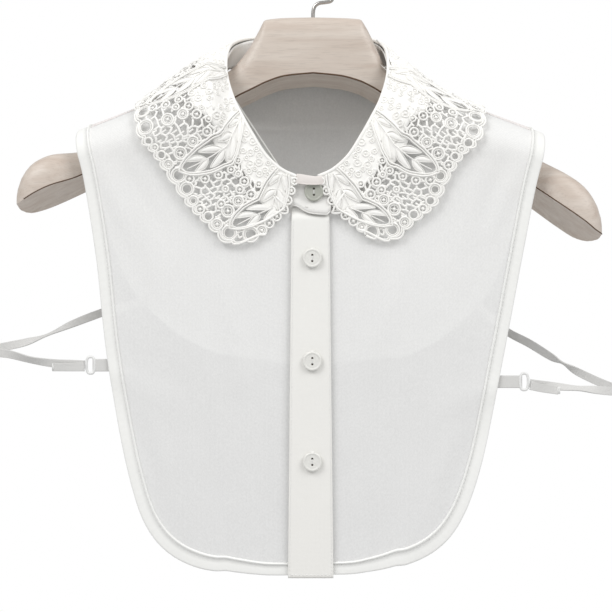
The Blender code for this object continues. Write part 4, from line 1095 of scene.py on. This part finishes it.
def make_button(name, x, y, z, finish, thread, dark):
    """A turned two-hole button: a rounded rim, a groove inside it and a shallow dish, with dark discs in
    its holes as painted shade.
    """
    radius, half = BUTTON_RADIUS, BUTTON_WALL / 2
    profile, steps = BUTTON_PROFILE, 64
    points = [(0, -profile[0][1] * half, 0)]
    for r, h in profile[1:-1]:
        for k in range(steps):
            angle, reach = 2 * math.pi * k / steps, r / 7.0 * radius
            points.append((reach * math.cos(angle), -h * half, reach * math.sin(angle)))
    points.append((0, -profile[-1][1] * half, 0))
    faces = [(0, 1 + (k + 1) % steps, 1 + k) for k in range(steps)]
    for r in range(len(profile) - 3):
        for k in range(steps):
            n = (k + 1) % steps
            a, b = 1 + r * steps, 1 + (r + 1) * steps
            faces.append((a + k, a + n, b + n, b + k))
    last = len(points) - 1
    a = 1 + (len(profile) - 3) * steps
    faces += [(last, a + k, a + (k + 1) % steps) for k in range(steps)]
    made = piece(f"{name}_turned", np.array(points) + (x, y, z), faces, finish, [name])
    shape = bmesh.new()
    for rise in (-BUTTON_HOLE_RISE, BUTTON_HOLE_RISE):
        hole = bmesh.ops.create_cone(
            shape, cap_ends=True, segments=20, radius1=0.8 * MM, radius2=0.8 * MM, depth=9 * MM
        )
        bmesh.ops.rotate(shape, verts=hole["verts"], matrix=Matrix.Rotation(math.pi / 2, 3, "X"))
        bmesh.ops.translate(shape, verts=hole["verts"], vec=(x * MM, y * MM, (z + rise) * MM))
    mesh = bpy.data.meshes.new(f"{name}_holes")
    shape.to_mesh(mesh)
    shape.free()
    mesh.materials.append(finish)
    cutter = bpy.data.objects.new(f"{name}_holes", mesh)
    cut = made.modifiers.new("holes", "BOOLEAN")
    cut.operation = "DIFFERENCE"
    cut.object = cutter
    graph = bpy.context.evaluated_depsgraph_get()
    holed = bpy.data.meshes.new_from_object(made.evaluated_get(graph))
    made.modifiers.clear()
    made.data = holed
    holed.shade_smooth()
    holed.set_sharp_from_angle(angle=math.radians(50))
    bpy.data.objects.remove(cutter)
    # Dark discs down the holes are painted shade, so the holes read dark instead of showing the cloth
    # behind.
    bottom = Threads()
    for hole in (-BUTTON_HOLE_RISE, BUTTON_HOLE_RISE):
        line = np.array([(x, y + half * 0.5, z + hole), (x, y + half * 0.8, z + hole)])
        bottom.tube(line, (1.0, 0.0, 0.0), 0.9, sides=16)
    bottom.made(f"{name}_hole_shade", dark, "button")
    sewn = Threads()
    rise = np.linspace(-1, 1, 9)
    arch = -half * 0.54 - 0.14 * (1 - rise**4) + 1.3 * (np.abs(rise) > 0.9)
    for aside in (-0.14, 0.14):
        line = np.stack([np.full(9, x + aside), y + arch, z + rise * (BUTTON_HOLE_RISE - 0.3)], axis=1)
        sewn.tube(line, TO_VIEWER, 0.13, sides=6)
    sewn.made(f"{name}_thread", thread, "button")


def stand_rows(steps):
    tops, feet = [], []
    for side in (-1, 1):
        fall = Fall(side)
        share = np.linspace(0, 1, 25)
        if side > 0:
            share = share[-2::-1]
        back = STAND_UNDER_BACK * np.maximum(1 - share / STAND_UNDER_SHARE, 0) * (side > 0)
        top = fall.point(share, 0.0) - fall.normal(share, 0.03) * (STAND_BACK + back)[:, None]
        tops += list(top - np.array([0, 0, 1.0]))
        foot = np.stack(fall.read(share)[9:], axis=1)
        foot[:, 1] += back
        feet += list(foot)
    over = [(STAND_LEFT_END_X, STAND_OVER_Y), (1.0, STAND_OVER_Y)]
    under = [(-2.0, STAND_UNDER_Y), (STAND_RIGHT_END_X, STAND_UNDER_Y)]
    tops = [(x, y, STAND_TOP_Z) for x, y in over] + tops + [(x, y, STAND_TOP_Z) for x, y in under]
    feet = [(x, y, STAND_FOOT_Z) for x, y in over] + feet + [(x, y, STAND_FOOT_Z) for x, y in under]
    return curve_through(np.hstack([np.array(tops), np.array(feet)]), steps)


def tab_share(whole):
    """How much each place of the stand belongs to the tab that buttons over the placket's top."""
    share = np.clip((whole[:, 0] + 19.0) / 5.0, 0, 1)
    share[len(share) // 3 :] = 0
    return ease(share)


def tab_shape(whole):
    """The tab's lower edge rises to the left, and its right corner is round."""
    whole = whole.copy()
    front = np.arange(len(whole)) < len(whole) // 3
    x = whole[:, 3]
    lift = 4.0 * np.exp(-(((x + 13.0) / 6.0) ** 2)) - 0.06 * np.clip(x + 6, 0, 18)
    whole[:, 5] += np.where(front, lift, 0)
    corner = np.where(front, np.clip((x - STAND_LEFT_END_X + 2.6) / 2.6, 0, 1), 0)
    whole[:, 5] += 2.4 * (1 - np.sqrt(np.maximum(1 - corner**2, 0)))
    return whole


def make_stand(finish, thread):
    steps, rows = 260, 9
    whole = tab_shape(stand_rows(steps))
    f = np.linspace(0, 1, rows)[:, None, None]
    points = (1 - f) * whole[None, :, :3] + f * whole[None, :, 3:]
    step = np.clip((f[..., 0] - 0.45) / 0.55, 0, 1)
    points[..., 1] -= TAB_FORWARD * ease(step) * tab_share(whole)[None]
    run = run_along(whole[:, :3])
    flat = np.stack(np.broadcast_arrays(run, np.linspace(0, STAND_HIGH, rows)[:, None]), axis=-1)
    made = piece(
        "stand", points.reshape(-1, 3), grid_faces(rows, steps + 1), finish,
        ["collar_stand"], flat.reshape(-1, 2),
    )
    thicken(made, STAND_WALL)
    sewn = Threads()
    lean = np.gradient(points, axis=1)
    out = unit(np.cross(lean, np.gradient(points, axis=0)))
    face = np.sign((out * (points - np.array([NECK_X, -10.0, 0.0]))).sum(axis=-1))[..., None]
    out = out * face
    for row in (1, rows - 2):
        for way in (1, -1):
            stitches(sewn, points[row] + out[row] * way * 0.46, out[row] * way, radius=0.2)
    stitch = sewn.made("stand_stitches", thread, "stand_cloth")
    edge = Threads()
    low = points[-1, : steps // 6] + (0.0, -0.25, 0.2)
    edge.tube(low, TO_VIEWER, 0.42, sides=8)
    side = points[:, 0] + (0.0, -0.1, 0.0)
    edge.tube(side, TO_VIEWER, 0.5, sides=8)
    bar = np.array([(-5.6, low[:, 1].min() + 1.1, -207.2), (-4.0, low[:, 1].min() + 1.0, -207.6)])
    edge.tube(bar, TO_VIEWER, 0.45, sides=8)
    hem = edge.made("stand_edge", finish, "stand_cloth")


def make_neck_strip(finish):
    """The soft strip that joins the collar's two ends over the top of the stand's button."""
    x = np.linspace(NECK_STRIP[0][0], NECK_STRIP[0][-1], 28)
    top, low = (np.interp(x, NECK_STRIP[0], heights) for heights in NECK_STRIP[1:])
    y = STAND_OVER_Y - 4.6 + 3.6 * ((x + 2.5) / 9.7) ** 4
    strip = Threads()
    line = np.stack([x, y, (top + low) / 2], axis=1)
    strip.tube(line, TO_VIEWER, (top - low) / 2, 0.55, sides=20)
    strip.made("neck_strip_cloth", finish, "stand_cloth", ["neck_strip"])
    edge = Threads()
    line = np.stack([x, y - 0.3, low + 0.5], axis=1)[2:-2]
    edge.tube(line, TO_VIEWER, 0.4, sides=8)
    edge.made("neck_strip_edge", finish, "stand_cloth")


def hanger_section(row, side, steps):
    """One cross-section of the wood: a flat underside and a rounded top, front to back."""
    top, front, back = row[3:6] if side < 0 else row[6:9]
    x = side * row.reach + HANGER_SHIFT * row.reach / HANGER[-1].reach
    middle = (front + back) / 2
    angle = np.linspace(0, math.pi, steps + 1)
    c, s = np.cos(angle), np.sin(angle)
    power = 2 / np.interp(row.reach, *HANGER_ROUND)
    y = -np.sign(c) * np.abs(c) ** power
    z = middle + (back - front) / 2 * y + (top - middle) * np.maximum(s, 0) ** power
    under = np.array([0.8, 0.4, 0.0, -0.4, -0.8])
    sag = 0.05 * row.half
    y = np.concatenate([y, under])
    z = np.concatenate([z, middle + (back - front) / 2 * under + sag])
    return np.stack([np.full(len(y), x), row.mid_y + row.half * y, z], axis=1)


def make_hanger(finish, dark):
    tip = HANGER[-1].reach
    ends = [tip - 0.9, tip - 0.3, tip]
    reaches = np.unique(np.concatenate([np.arange(0, 206, 3.0), np.arange(33, 60, 1.5), ends]))
    sections = [hanger_section(row_at(HANGER, r), -1, 40) for r in reaches[::-1]]
    sections += [hanger_section(row_at(HANGER, r), 1, 40) for r in reaches[1:]]
    faces = loft_faces(len(sections), len(sections[0]))
    made = piece("hanger_wood", np.concatenate(sections), faces, finish, ["hanger_bar"])
    made.data.set_sharp_from_angle(angle=math.radians(55))
    edge = Threads()
    for first, last, wide in HANGER_LINES:
        line = np.array([s[0] for s in sections if first < s[0, 0] < last])
        edge.tube(line + (0, -0.08, 0.2), TO_VIEWER, wide, 0.3)
    edge.made("hanger_edge", dark, "wood")


def make_hook(finish):
    radius = HOOK_WIRE / 2
    angle = np.radians(np.linspace(HOOK_ARC_FROM, HOOK_ARC_TO, 90))
    centre_z = radius - HOOK_RADIUS
    arc = np.stack([HOOK_RADIUS * np.cos(angle), centre_z + HOOK_RADIUS * np.sin(angle)], axis=1)
    bend = curve_through(HOOK_BEND + [tuple(arc[0]), tuple(arc[1])], 30)[:-3]
    line = np.vstack([bend, arc])
    line = np.stack([line[:, 0], np.zeros(len(line)), line[:, 1]], axis=1)
    wide = np.full(len(line), radius)
    wide[-4:] = radius * np.array([0.98, 0.9, 0.72, 0.4])
    hook = Threads()
    hook.tube(line, TO_VIEWER, wide, sides=20)
    hook.made("hook_wire", finish, "steel", ["hanger_hook"])


def make_strap(name, rows, finish, replaces):
    """Ribbed elastic along the rows' route, turned about it as they say."""
    steps = 10 * len(rows)
    route = curve_through([(r.x, r.y, r.z, r.turn) for r in rows], steps)
    place, turn = route[:, :3], np.radians(route[:, 3])[:, None]
    lean = unit(np.gradient(place, axis=0))
    up = np.array([0.0, 0.0, 1.0]) - lean * lean[:, 2:]
    up = unit(up)
    out = np.cross(lean, up)
    wide = up * np.cos(turn) + out * np.sin(turn)
    thin = out * np.cos(turn) - up * np.sin(turn)
    ribs = 40
    u = np.linspace(-1, 1, ribs + 1)
    rib = 0.42 + 0.13 * np.abs(np.sin(u * math.pi * 3.5))
    rib[[0, -1]] = 0.2
    loop_u = np.concatenate([u, u[::-1]])
    loop_h = np.concatenate([rib, -rib])
    points = (
        place[:, None]
        + wide[:, None] * (loop_u * STRAP_WIDTH / 2)[None, :, None]
        + thin[:, None] * loop_h[None, :, None]
    )
    faces = loft_faces(steps + 1, len(loop_u))
    run = run_along(place)
    flat = np.stack(np.broadcast_arrays(run[:, None], loop_u[None] * STRAP_WIDTH / 2), axis=-1)
    points, flat = points.reshape(-1, 3), flat.reshape(-1, 2)
    piece(f"{name}_elastic", points, faces, finish, replaces, flat)


def make_strap_return(name, rows, finish, thread):
    """The strap's end, turned back through the ring and sewn down on the strap."""
    back = [
        Strap(r.x, r.y - 1.35, r.z - 1.1 - 0.5 * (len(rows) - i), r.turn * 0.5)
        for i, r in enumerate(rows)
    ]
    make_strap(name, back[-3:], finish, [])
    sewn = Threads()
    end = back[-3]
    for at in (0.0, 0.7, 1.4):
        line = np.array([(end.x + at, end.y - 0.6, end.z - 2.6), (end.x + at, end.y - 0.6, end.z + 2.6)])
        sewn.tube(line, TO_VIEWER, 0.32)
    sewn.made(f"{name}_bar", thread, "elastic")


def make_slider(name, at, finish):
    angle = np.linspace(0, 2 * math.pi, 56, endpoint=False)
    c, s = np.cos(angle), np.sin(angle)
    x = SLIDER_SIZE[0] / 2 * np.sign(c) * np.abs(c) ** 0.7
    z = SLIDER_SIZE[1] / 2 * np.sign(s) * np.abs(s) ** 0.7
    line = np.stack([x, np.zeros(56), z], axis=1) + at
    ring = Threads()
    ring.tube(line, TO_VIEWER, SLIDER_WIRE / 2, sides=12, closed=True)
    ring.made(f"{name}_ring", finish, "ring", [name])


def make_tab(name, at, end, side, finish, thread):
    x, y, z = at
    reach = SLIDER_SIZE[0] / 2 + SLIDER_WIRE / 2
    low, high = sorted((x - side * (reach - 2.4), end))
    corners = ((low, high, z + 4.4), (low, high, z - 4.4))
    upright_strip(f"{name}_ribbon", corners, y, 0.9, finish, [name], 14)
    sewn = Threads()
    inner, outer = end + side * 1.4, end + side * 10.5
    box = [(inner, z + 3.2), (outer, z + 3.2), (outer, z - 3.2), (inner, z - 3.2), (inner, z + 3.2)]
    box += [(outer, z - 3.2)]
    for a, b in zip(box, box[1:]):
        line = np.array([(a[0], y - 0.5, a[1]), (b[0], y - 0.5, b[1])])
        stitches(sewn, line, TO_VIEWER)
    line = np.array([(inner, y - 0.5, z - 3.2), (outer, y - 0.5, z + 3.2)])
    stitches(sewn, line, TO_VIEWER)
    sewn.made(f"{name}_stitches", thread, "elastic")


class Lace(Threads):
    """Cords, rings and leaves laid on one side's fall, measured in millimetres from a share of the
    neck along the fall (u) and out from the fold (v)."""

    def __init__(self, fall):
        super().__init__()
        self.fall = fall
        self.rings = []
        self.leaves = []

    def lay(self, start, u, v, rise):
        share, out = self.fall.place(start, np.asarray(u, float), np.asarray(v, float))
        return self.lay_at(share, out, rise)

    def lay_at(self, share, out, rise):
        inside = (share > -0.058) & (share < 1.003)
        up = self.fall.normal(share, out)
        return self.fall.point(share, out) + up * np.broadcast_to(rise, share.shape)[..., None], up, inside

    def axis(self, leaf, v):
        """The share that a leaf's middle has this far out."""
        return leaf.share + leaf.lean * (v - LEAF_BASE) / (LEAF_TIP - LEAF_BASE)

    def cord(self, start, u, v, wide, rise=0.0, high=None, closed=False, sides=6, keep=None):
        self.thread(self.lay(start, u, v, rise), wide, high, closed, sides, keep)

    def thread(self, laid, wide, high=None, closed=False, sides=6, keep=None):
        """Tubes along the stretches of a laid line that are on the lace."""
        line, up, inside = laid
        if keep is not None:
            inside = inside & keep
        wide = np.broadcast_to(np.asarray(wide, float), len(line))
        high = wide if high is None else np.broadcast_to(np.asarray(high, float), len(line))
        if closed and inside.all():
            self.tube(line, up, wide, high, sides, True)
            return
        runs = np.split(np.arange(len(line)), np.flatnonzero(np.diff(inside.astype(int))) + 1)
        for run in runs:
            if inside[run[0]] and len(run) > 1:
                self.tube(line[run], up[run], wide[run], high[run], sides)

    def ring(self, start, u, v, radius, dotted=True, wide=0.72, rise=0.35):
        """A ring, with a knot held in its middle by four bars."""
        share, out = (float(value) for value in self.fall.place(start, u, v))
        steps = max(int(radius * 4.4), 10)
        angle = np.linspace(0, 2 * math.pi, steps, endpoint=False)
        circle = np.stack([np.cos(angle), np.sin(angle)])
        r = radius - wide
        self.thread(self.lay_at(*self.fall.around(share, out, *(r * circle)), rise), wide, closed=True)
        if radius > 4:
            r -= 1.35
            inner = self.lay_at(*self.fall.around(share, out, *(r * circle)), rise - 0.2)
            self.thread(inner, 0.6 * wide, closed=True)
        self.rings.append((share, out, radius, self.fall.steps_at(share, out)))
        if dotted:
            centre, up, _ = self.lay_at(np.array([share]), np.array([out]), 0.25)
            self.bead(centre[0], up[0], min(0.34 * radius, 1.2), 0.75)
            for quarter in range(4):
                turn = math.pi / 4 + quarter * math.pi / 2
                reach = np.array([0.2, 0.55, 0.95]) * r
                bar = self.fall.around(share, out, reach * math.cos(turn), reach * math.sin(turn))
                self.thread(self.lay_at(*bar, 0.0), 0.3, sides=4)

    def petal(self, leaf, petal, side, top):
        """A pointed satin petal with a fine cord round it, leaning out from the vein."""
        root = LEAF_BASE + 1 + petal.root * (LEAF_TIP - LEAF_BASE) + (1.2 if side > 0 else 0.0)
        lean = math.radians(petal.lean)
        t = np.linspace(0, 1, 13)
        profile = petal.half * np.sin(math.pi * t**0.85) ** 0.8
        along = 0.6 + petal.length * t
        bend = 1.1 * np.sin(math.pi * t)

        def spot(distance, aside):
            u = distance * math.sin(lean) + aside * math.cos(lean)
            v = root + distance * math.cos(lean) - aside * math.sin(lean)
            limit = np.interp((v - LEAF_BASE) / (LEAF_TIP - LEAF_BASE), *LEAF_HALF_WIDTHS) - 2.5
            return side * np.clip(u, 0.35, np.maximum(limit, 0.4)), np.minimum(v, top)

        u, v = spot(along, bend)
        wide, high = np.maximum(profile - 0.3, 0.15), 0.24 * profile + 0.15
        self.cord(self.axis(leaf, v), u, v, wide, 0.22, high, sides=8)
        for way in (-1, 1):
            u, v = spot(along, bend + way * profile)
            self.cord(self.axis(leaf, v), u, v, 0.34, 0.5, sides=5)

    def leaf(self, leaf):
        """A leaf of two outline cords, a vein and pairs of petals."""
        p = np.linspace(0, 1, 34)
        half = np.interp(p, *LEAF_HALF_WIDTHS)
        v = LEAF_BASE + p * (LEAF_TIP - LEAF_BASE)
        self.leaves.append(leaf)
        both_v = np.concatenate([v, v[::-1][1:]])
        self.cord(self.axis(leaf, both_v), np.concatenate([-half, half[::-1][1:]]), both_v, 0.72, 0.8)
        inner = half - 1.75
        keep = inner > 0.6
        tip = v[keep][-1] + 1.0
        inner_u = np.concatenate([-inner[keep], [0.0], inner[keep][::-1]])
        inner_v = np.concatenate([v[keep], [tip], v[keep][::-1]])
        self.cord(self.axis(leaf, inner_v), inner_u, inner_v, 0.6, 0.7)
        q = np.linspace(0, 1, 26)
        vein_v = LEAF_BASE + 1 + q * (tip - LEAF_BASE - 4)
        self.cord(self.axis(leaf, vein_v), 0.6 * np.sin(q * 5.0), vein_v, 0.62 - 0.25 * q, 0.5)
        for petal in PETALS:
            for side in (-1, 1):
                self.petal(leaf, petal, side, tip - 1.6)

    def covered(self, share, out, margin=0.0):
        """Which places lie under a leaf or a ring."""
        hidden = np.zeros(np.shape(share), bool)
        v = out * LACE_WIDTH
        for leaf in self.leaves:
            middle = self.axis(leaf, v) + 0 * share
            u = (share - middle) * self.fall.along_at(middle, out)
            p = (v - LEAF_BASE) / (LEAF_TIP - LEAF_BASE)
            half = np.interp(p, *LEAF_HALF_WIDTHS, left=-9, right=-9)
            hidden |= np.abs(u) < half - 0.2 + margin
        for at, far, radius, steps in self.rings:
            away = (share - at)[..., None] * steps[0] + (out - far)[..., None] * steps[1]
            hidden |= np.linalg.norm(away, axis=-1) < radius - 0.5 + margin
        return hidden

    def free(self, start, u, v, margin):
        share, out = self.fall.place(start, np.array([u]), np.array([v]))
        return not self.covered(share, out, margin)[0]

    def net(self):
        """Uneven bars between the motifs, wider apart towards the edge."""
        rows = int(NET_DEPTH / NET_PITCH)
        j = np.arange(2 * NET_COUNT + 1)
        for k in range(1, rows + 1):
            middle = NET_START + k * NET_PITCH
            sign = np.where((j + k) % 2 == 0, 1.0, -1.0)
            v = middle + sign * NET_PITCH / 6 + 0.75 * np.sin(2.3 * j + 1.7 * k)
            sway = 0.0034 * np.sin(1.9 * j + 2.9 * k)
            fine = np.linspace(0, 2 * NET_COUNT, 6 * NET_COUNT + 1)
            share = fine / (2 * NET_COUNT) + np.interp(fine, j, sway)
            fine_v = np.interp(fine, j, v)
            keep = ~self.covered(share, fine_v / LACE_WIDTH)
            self.cord(share, 0.0, fine_v, NET_WIDE, 0.0, 0.45, keep=keep)
            if k == rows:
                continue
            for at in j[(j + k) % 2 == 0]:
                q = np.linspace(0, 1, 6)
                link_v = v[at] + q * (NET_PITCH * 2 / 3 + 0.4)
                share = np.full(6, at / (2 * NET_COUNT) + sway[at])
                keep = ~self.covered(share, link_v / LACE_WIDTH)
                self.cord(share, 0.0, link_v, NET_WIDE, 0.0, 0.45, keep=keep)
                if (at * 7 + k * 3) % 5 < 2:
                    share = share + 0.5 / NET_COUNT
                    keep = ~self.covered(share, link_v / LACE_WIDTH)
                    self.cord(share, 0.0, link_v + 0.2 * NET_PITCH, 0.8 * NET_WIDE, 0.0, 0.4, keep=keep)

    def edge(self, starts):
        """Open loops along the edge under a scalloped border of two cords, widest at the leaves."""
        steps = [starts[0] - starts[1], *starts, 2 * starts[-1] - starts[-2]]
        bounds = [steps[0]]
        for a, b in zip(steps, steps[1:]):
            bounds += list(a + (b - a) * np.cumsum(SCALLOP_SHARES))
        bounds = np.array(bounds)
        bounds = bounds - 0.5 * (bounds[1] - bounds[0])
        share = np.linspace(-0.012, 1.0, 420)
        i = np.clip(np.searchsorted(bounds, share) - 1, 0, len(bounds) - 2)
        f = (share - bounds[i]) / (bounds[i + 1] - bounds[i])
        bow = np.abs(np.sin(math.pi * np.clip(f, 0, 1))) ** 0.6
        for inward, wide in ((0.4, 0.74), (1.95, 0.6)):
            self.cord(share, 0.0, LACE_WIDTH - inward - SCALLOP_DEPTH * (1 - bow), wide, 0.45)
        for number, (a, b) in enumerate(zip(bounds, bounds[1:])):
            middle = (a + b) / 2
            if not 0.0 < middle < 1.0:
                continue
            reach = (b - a) * float(self.fall.along_at(np.array(middle), np.array(0.95)))
            radius = min(0.49 * reach, 6.0)
            width = np.linalg.norm(self.fall.steps_at(middle, 0.9)[1])
            v = LACE_WIDTH * (1 - (1.9 + radius) / width)
            self.ring(middle, 0.0, v, radius, number % len(SCALLOP_SHARES) in (1, 3))

    def slab(self, start, u, v, half, rise=0.0):
        """A thin closed sheet over a grid of places."""
        points, up, _ = self.lay(start, u, v, rise)
        rows, columns = points.shape[:2]
        self.points += [(points + up * half).reshape(-1, 3), (points - up * half).reshape(-1, 3)]
        run = np.stack([np.broadcast_to(v, (rows, columns)).ravel(), np.zeros(rows * columns)], axis=1)
        self.uvs += [run, run]
        top = np.array(grid_faces(rows, columns)) + self.count
        under = (top + rows * columns)[:, ::-1]
        rim = list(range(columns)) + [r * columns + columns - 1 for r in range(1, rows)]
        rim += [(rows - 1) * columns + c for c in range(columns - 2, -1, -1)]
        rim += [r * columns for r in range(rows - 2, 0, -1)]
        rim = np.array(rim) + self.count
        ahead = np.roll(rim, -1)
        wall = np.stack([rim, rim + rows * columns, ahead + rows * columns, ahead], axis=1)
        self.faces += top.tolist() + under.tolist() + wall.tolist()
        self.count += 2 * rows * columns


def chain(links):
    """How far out each ring of a chain lies, and its radius."""
    return [
        (links.first + i * links.step, links.start + (links.end - links.start) * i / (links.count - 1))
        for i in range(links.count)
    ]


def make_lace(name, side, finish):
    fall = Fall(side)
    lace = Lace(fall)
    for leaf in LEAVES:
        lace.leaf(leaf)
    for i, (v, radius) in enumerate(chain(FRONT_CHAIN)):
        lace.ring(0.0, 0.25 + 0.07 * i * i, v, radius)
    lace.edge([lace.axis(leaf, LEAF_TIP) for leaf in LEAVES])
    for ring in SHOULDER_RINGS:
        lace.ring(ring.share, 0.0, ring.v, ring.radius)
    for leaf in LEAVES:
        for side_of_leaf, links in ((-1, LEAF_LOW_CHAIN), (1, LEAF_HIGH_CHAIN)):
            for v, radius in chain(links):
                start = lace.axis(leaf, v)
                half = np.interp((v - LEAF_BASE) / (LEAF_TIP - LEAF_BASE), *LEAF_HALF_WIDTHS)
                u = side_of_leaf * (half + radius + 0.1)
                share, _ = fall.place(start, u, v)
                if share < 0.985 and lace.free(start, u, v, radius - 2.0):
                    lace.ring(start, u, v, radius)
    for row, (v, radius) in enumerate(chain(FILL_CHAIN)):
        for i in range(FILL_RINGS):
            at = (i + 0.5 * (row % 2) + 0.22 * math.sin(5.1 * i + row)) / FILL_RINGS
            out = v + 1.5 * math.sin(3.7 * i + 2.3 * row)
            size = radius * (1 + 0.16 * math.sin(2.9 * i + 1.3 * row))
            if (i * 7 + row * 3) % 5 < 3 and lace.free(at, 0.0, out, size - 0.9):
                lace.ring(at, 0.0, out, size)
    for row, v in enumerate(NECK_ROWS):
        count = NECK_RINGS - row
        for i in range(count):
            at = (i + 0.5 * (row % 2) + 0.22 * math.sin(3.1 * i + 1.7 * row)) / count
            out = v + 0.9 * math.sin(4.7 * i + row)
            size = NECK_RADIUS * (1 + 0.2 * math.sin(2.3 * i + 0.9 * row))
            if lace.free(at, 0.0, out, size - 1.2):
                lace.ring(at, 0.0, out, size, wide=0.58, rise=0.2)
    lace.net()
    line = np.linspace(0, 1, 170)
    depth = NECK_GROUND + 13 * np.exp(-(((line - 0.44) / 0.05) ** 2)) + 2.5 * np.sin(line * 41)
    v = 0.3 + np.linspace(0, 1, 13)[:, None] * (depth - 0.3)
    lace.slab(line[None, :] + 0 * v, 0 * v, v + 0 * line[None, :], 0.28, -0.15)
    for leaf in LEAVES:
        p = np.linspace(0.02, 0.5, 12)[:, None]
        u = np.linspace(-1, 1, 9)[None, :] * np.interp(p, *LEAF_HALF_WIDTHS)
        v = LEAF_BASE + p * (LEAF_TIP - LEAF_BASE) + np.zeros(9)
        lace.slab(lace.axis(leaf, v), u, v, 0.25, -0.1)
    lace.cord(line, 0.0, np.full(170, 0.4), 1.35, -0.5, sides=10)
    made = lace.made(name, finish, "lace", [f"lace_{SIDES[side]}"])


def make_light(name, energy, size, place, target):
    data = bpy.data.lights.new(name, "AREA")
    data.energy = energy
    data.size = size
    made = put(name, data)
    made.location = place
    made.rotation_euler = (Vector(target) - Vector(place)).to_track_quat("-Z", "Y").to_euler()


def make_world():
    """A white backdrop for the camera, much greyer through the sheer cloth as a painted shade behind the
    cloth, and softer as light.
    """
    world = bpy.data.worlds.new("studio")
    bpy.context.scene.world = world
    world.use_nodes = True
    tree = world.node_tree
    back = tree.nodes["Background"]
    path = node(tree, "ShaderNodeLightPath")
    # Seen through the cloth, the white backdrop turns dark: painted shade behind the cloth.
    through = maths(tree, "GREATER_THAN", path.outputs["Transparent Depth"], 0.5)
    seen = maths(tree, "MULTIPLY_ADD", through, SHADE_THROUGH_CLOTH - 1.0, 1.0)
    other = maths(tree, "SUBTRACT", 1.0, path.outputs["Is Camera Ray"])
    level = maths(tree, "MULTIPLY", seen, path.outputs["Is Camera Ray"])
    level = maths(tree, "MULTIPLY_ADD", other, WORLD_LIGHT, level)
    link(tree, level, back.inputs["Strength"])
    back.inputs["Color"].default_value = (1, 1, 1, 1)


def make_floor():
    finish = plain_finish("floor", (0.82, 0.82, 0.82), 0.8, size=3.0)
    mesh = bpy.data.meshes.new("floor")
    corners = [(x * FLOOR_HALF, y * FLOOR_HALF, 0) for x, y in ((-1, -1), (1, -1), (1, 1), (-1, 1))]
    mesh.from_pydata(corners, [], [(0, 1, 2, 3)])
    mesh.materials.append(finish)
    floor = put("floor", mesh)
    floor.location.z = FLOOR_Z


def make_camera():
    data = bpy.data.cameras.new("camera")
    data.sensor_width = 36.0
    data.lens = CAMERA_LENS
    camera = put("camera", data)
    camera.location = CAMERA_PLACE
    camera.rotation_euler = (math.pi / 2, 0, 0)
    bpy.context.scene.camera = camera


def main():
    # The low colours and covers below are painted light and shade: the fronts and placket a little darker
    # towards the hem, the edging darker at the shoulders, the back warmer and more see-through at the neck.
    sheer = cloth_finish("sheer_cloth", (0.93, 0.93, 0.92), 0.70, (0.92, 0.92, 0.915), 0.68)
    back_sheer = cloth_finish("sheer_back_cloth", (0.93, 0.925, 0.91), 0.60, (0.93, 0.93, 0.92), 0.66)
    seam_cloth = cloth_finish("shoulder_seam_cloth", (0.87, 0.82, 0.805), 0.86)
    edging = cloth_finish("turned_edge_cloth", (0.85, 0.85, 0.828), low_painted_light_colour=(0.875, 0.875, 0.855))
    double = cloth_finish("doubled_cloth", (0.84, 0.835, 0.805), low_painted_light_colour=(0.83, 0.82, 0.79))
    stand_cloth = cloth_finish("stand_cloth", (0.80, 0.79, 0.765), pitch=FINE_PITCH)
    strip_cloth = cloth_finish("neck_strip_cloth", (0.78, 0.735, 0.705), pitch=FINE_PITCH)
    lace_finish = thread_finish("lace_thread", (0.95, 0.94, 0.91), 1.0)
    thread = thread_finish("sewing_thread", (0.88, 0.88, 0.865), 1.0)
    wood = wood_finish()
    # Dark lines along the hanger's edge, and the painted shade in the button holes.
    dark = plain_finish("dark_edge_and_hole_shade", (0.09, 0.045, 0.02), 0.5)
    steel = plain_finish("brushed_steel", (0.56, 0.535, 0.51), 0.27, 1.0)
    button = plain_finish("button_plastic", (0.78, 0.775, 0.74), 0.3)
    # The stand's button colour is its own grey-green tint together with painted shade from the collar and
    # strip over it, much darker than the other buttons.
    stand_button = plain_finish("grey_button_plastic_and_shade", (0.42, 0.43, 0.38), 0.22)
    elastic = plain_finish("elastic", (0.66, 0.655, 0.64), 0.8, size=2500.0, strength=0.4)
    plastic = plain_finish("ring_plastic", (0.80, 0.80, 0.79), 0.3)

    make_hanger(wood, dark)
    make_hook(steel)
    for side, name in SIDES.items():
        creases = FRONT_CREASES[side]
        panel(f"panel_front_{name}", front_flat(side, 64, 60, 34), creases, sheer, [f"front_{name}"])
        band(f"band_front_{name}", front_path(side), creases, edging, thread, [f"binding_front_{name}"])
        shoulder_band(side, seam_cloth, thread)
        make_lace(f"guipure_{name}", side, lace_finish)
    panel("panel_back", back_flat(88, 44), BACK_CREASES, back_sheer, ["back_panel"])
    band("band_back", back_path(), BACK_CREASES, edging, thread, ["binding_back"])
    make_placket(double, thread)
    make_stand(stand_cloth, thread)
    make_neck_strip(strip_cloth)
    face_y = PLACKET_Y - PLACKET_WALL / 2 - GAP - BUTTON_WALL / 2
    for i, z in enumerate(BUTTON_HEIGHTS):
        make_button(f"button_{i + 1}", BUTTON_X, face_y, z, button, thread, dark)
    make_button("button_stand", *STAND_BUTTON, stand_button, thread, dark)
    for side, name in SIDES.items():
        rows, slider, tab_end = STRAPS[side], SLIDERS[side], TAB_ENDS[side]
        make_strap(f"strap_{name}", rows, elastic, [f"strap_{name}"])
        make_slider(f"slider_{name}", slider, plastic)
        make_tab(f"tab_{name}", slider, tab_end, side, elastic, thread)
        make_strap_return(f"strap_{name}_return", rows, elastic, thread)

    make_world()
    make_floor()
    make_light("key", KEY_POWER, 1.7, (-1.75, -1.8, 1.95), (0, 0, -0.25))
    make_light("fill", FILL_POWER, 1.8, (1.9, -1.7, 1.75), (0, 0, -0.3))
    make_camera()
    bpy.context.scene.view_settings.view_transform = "Standard"


main()
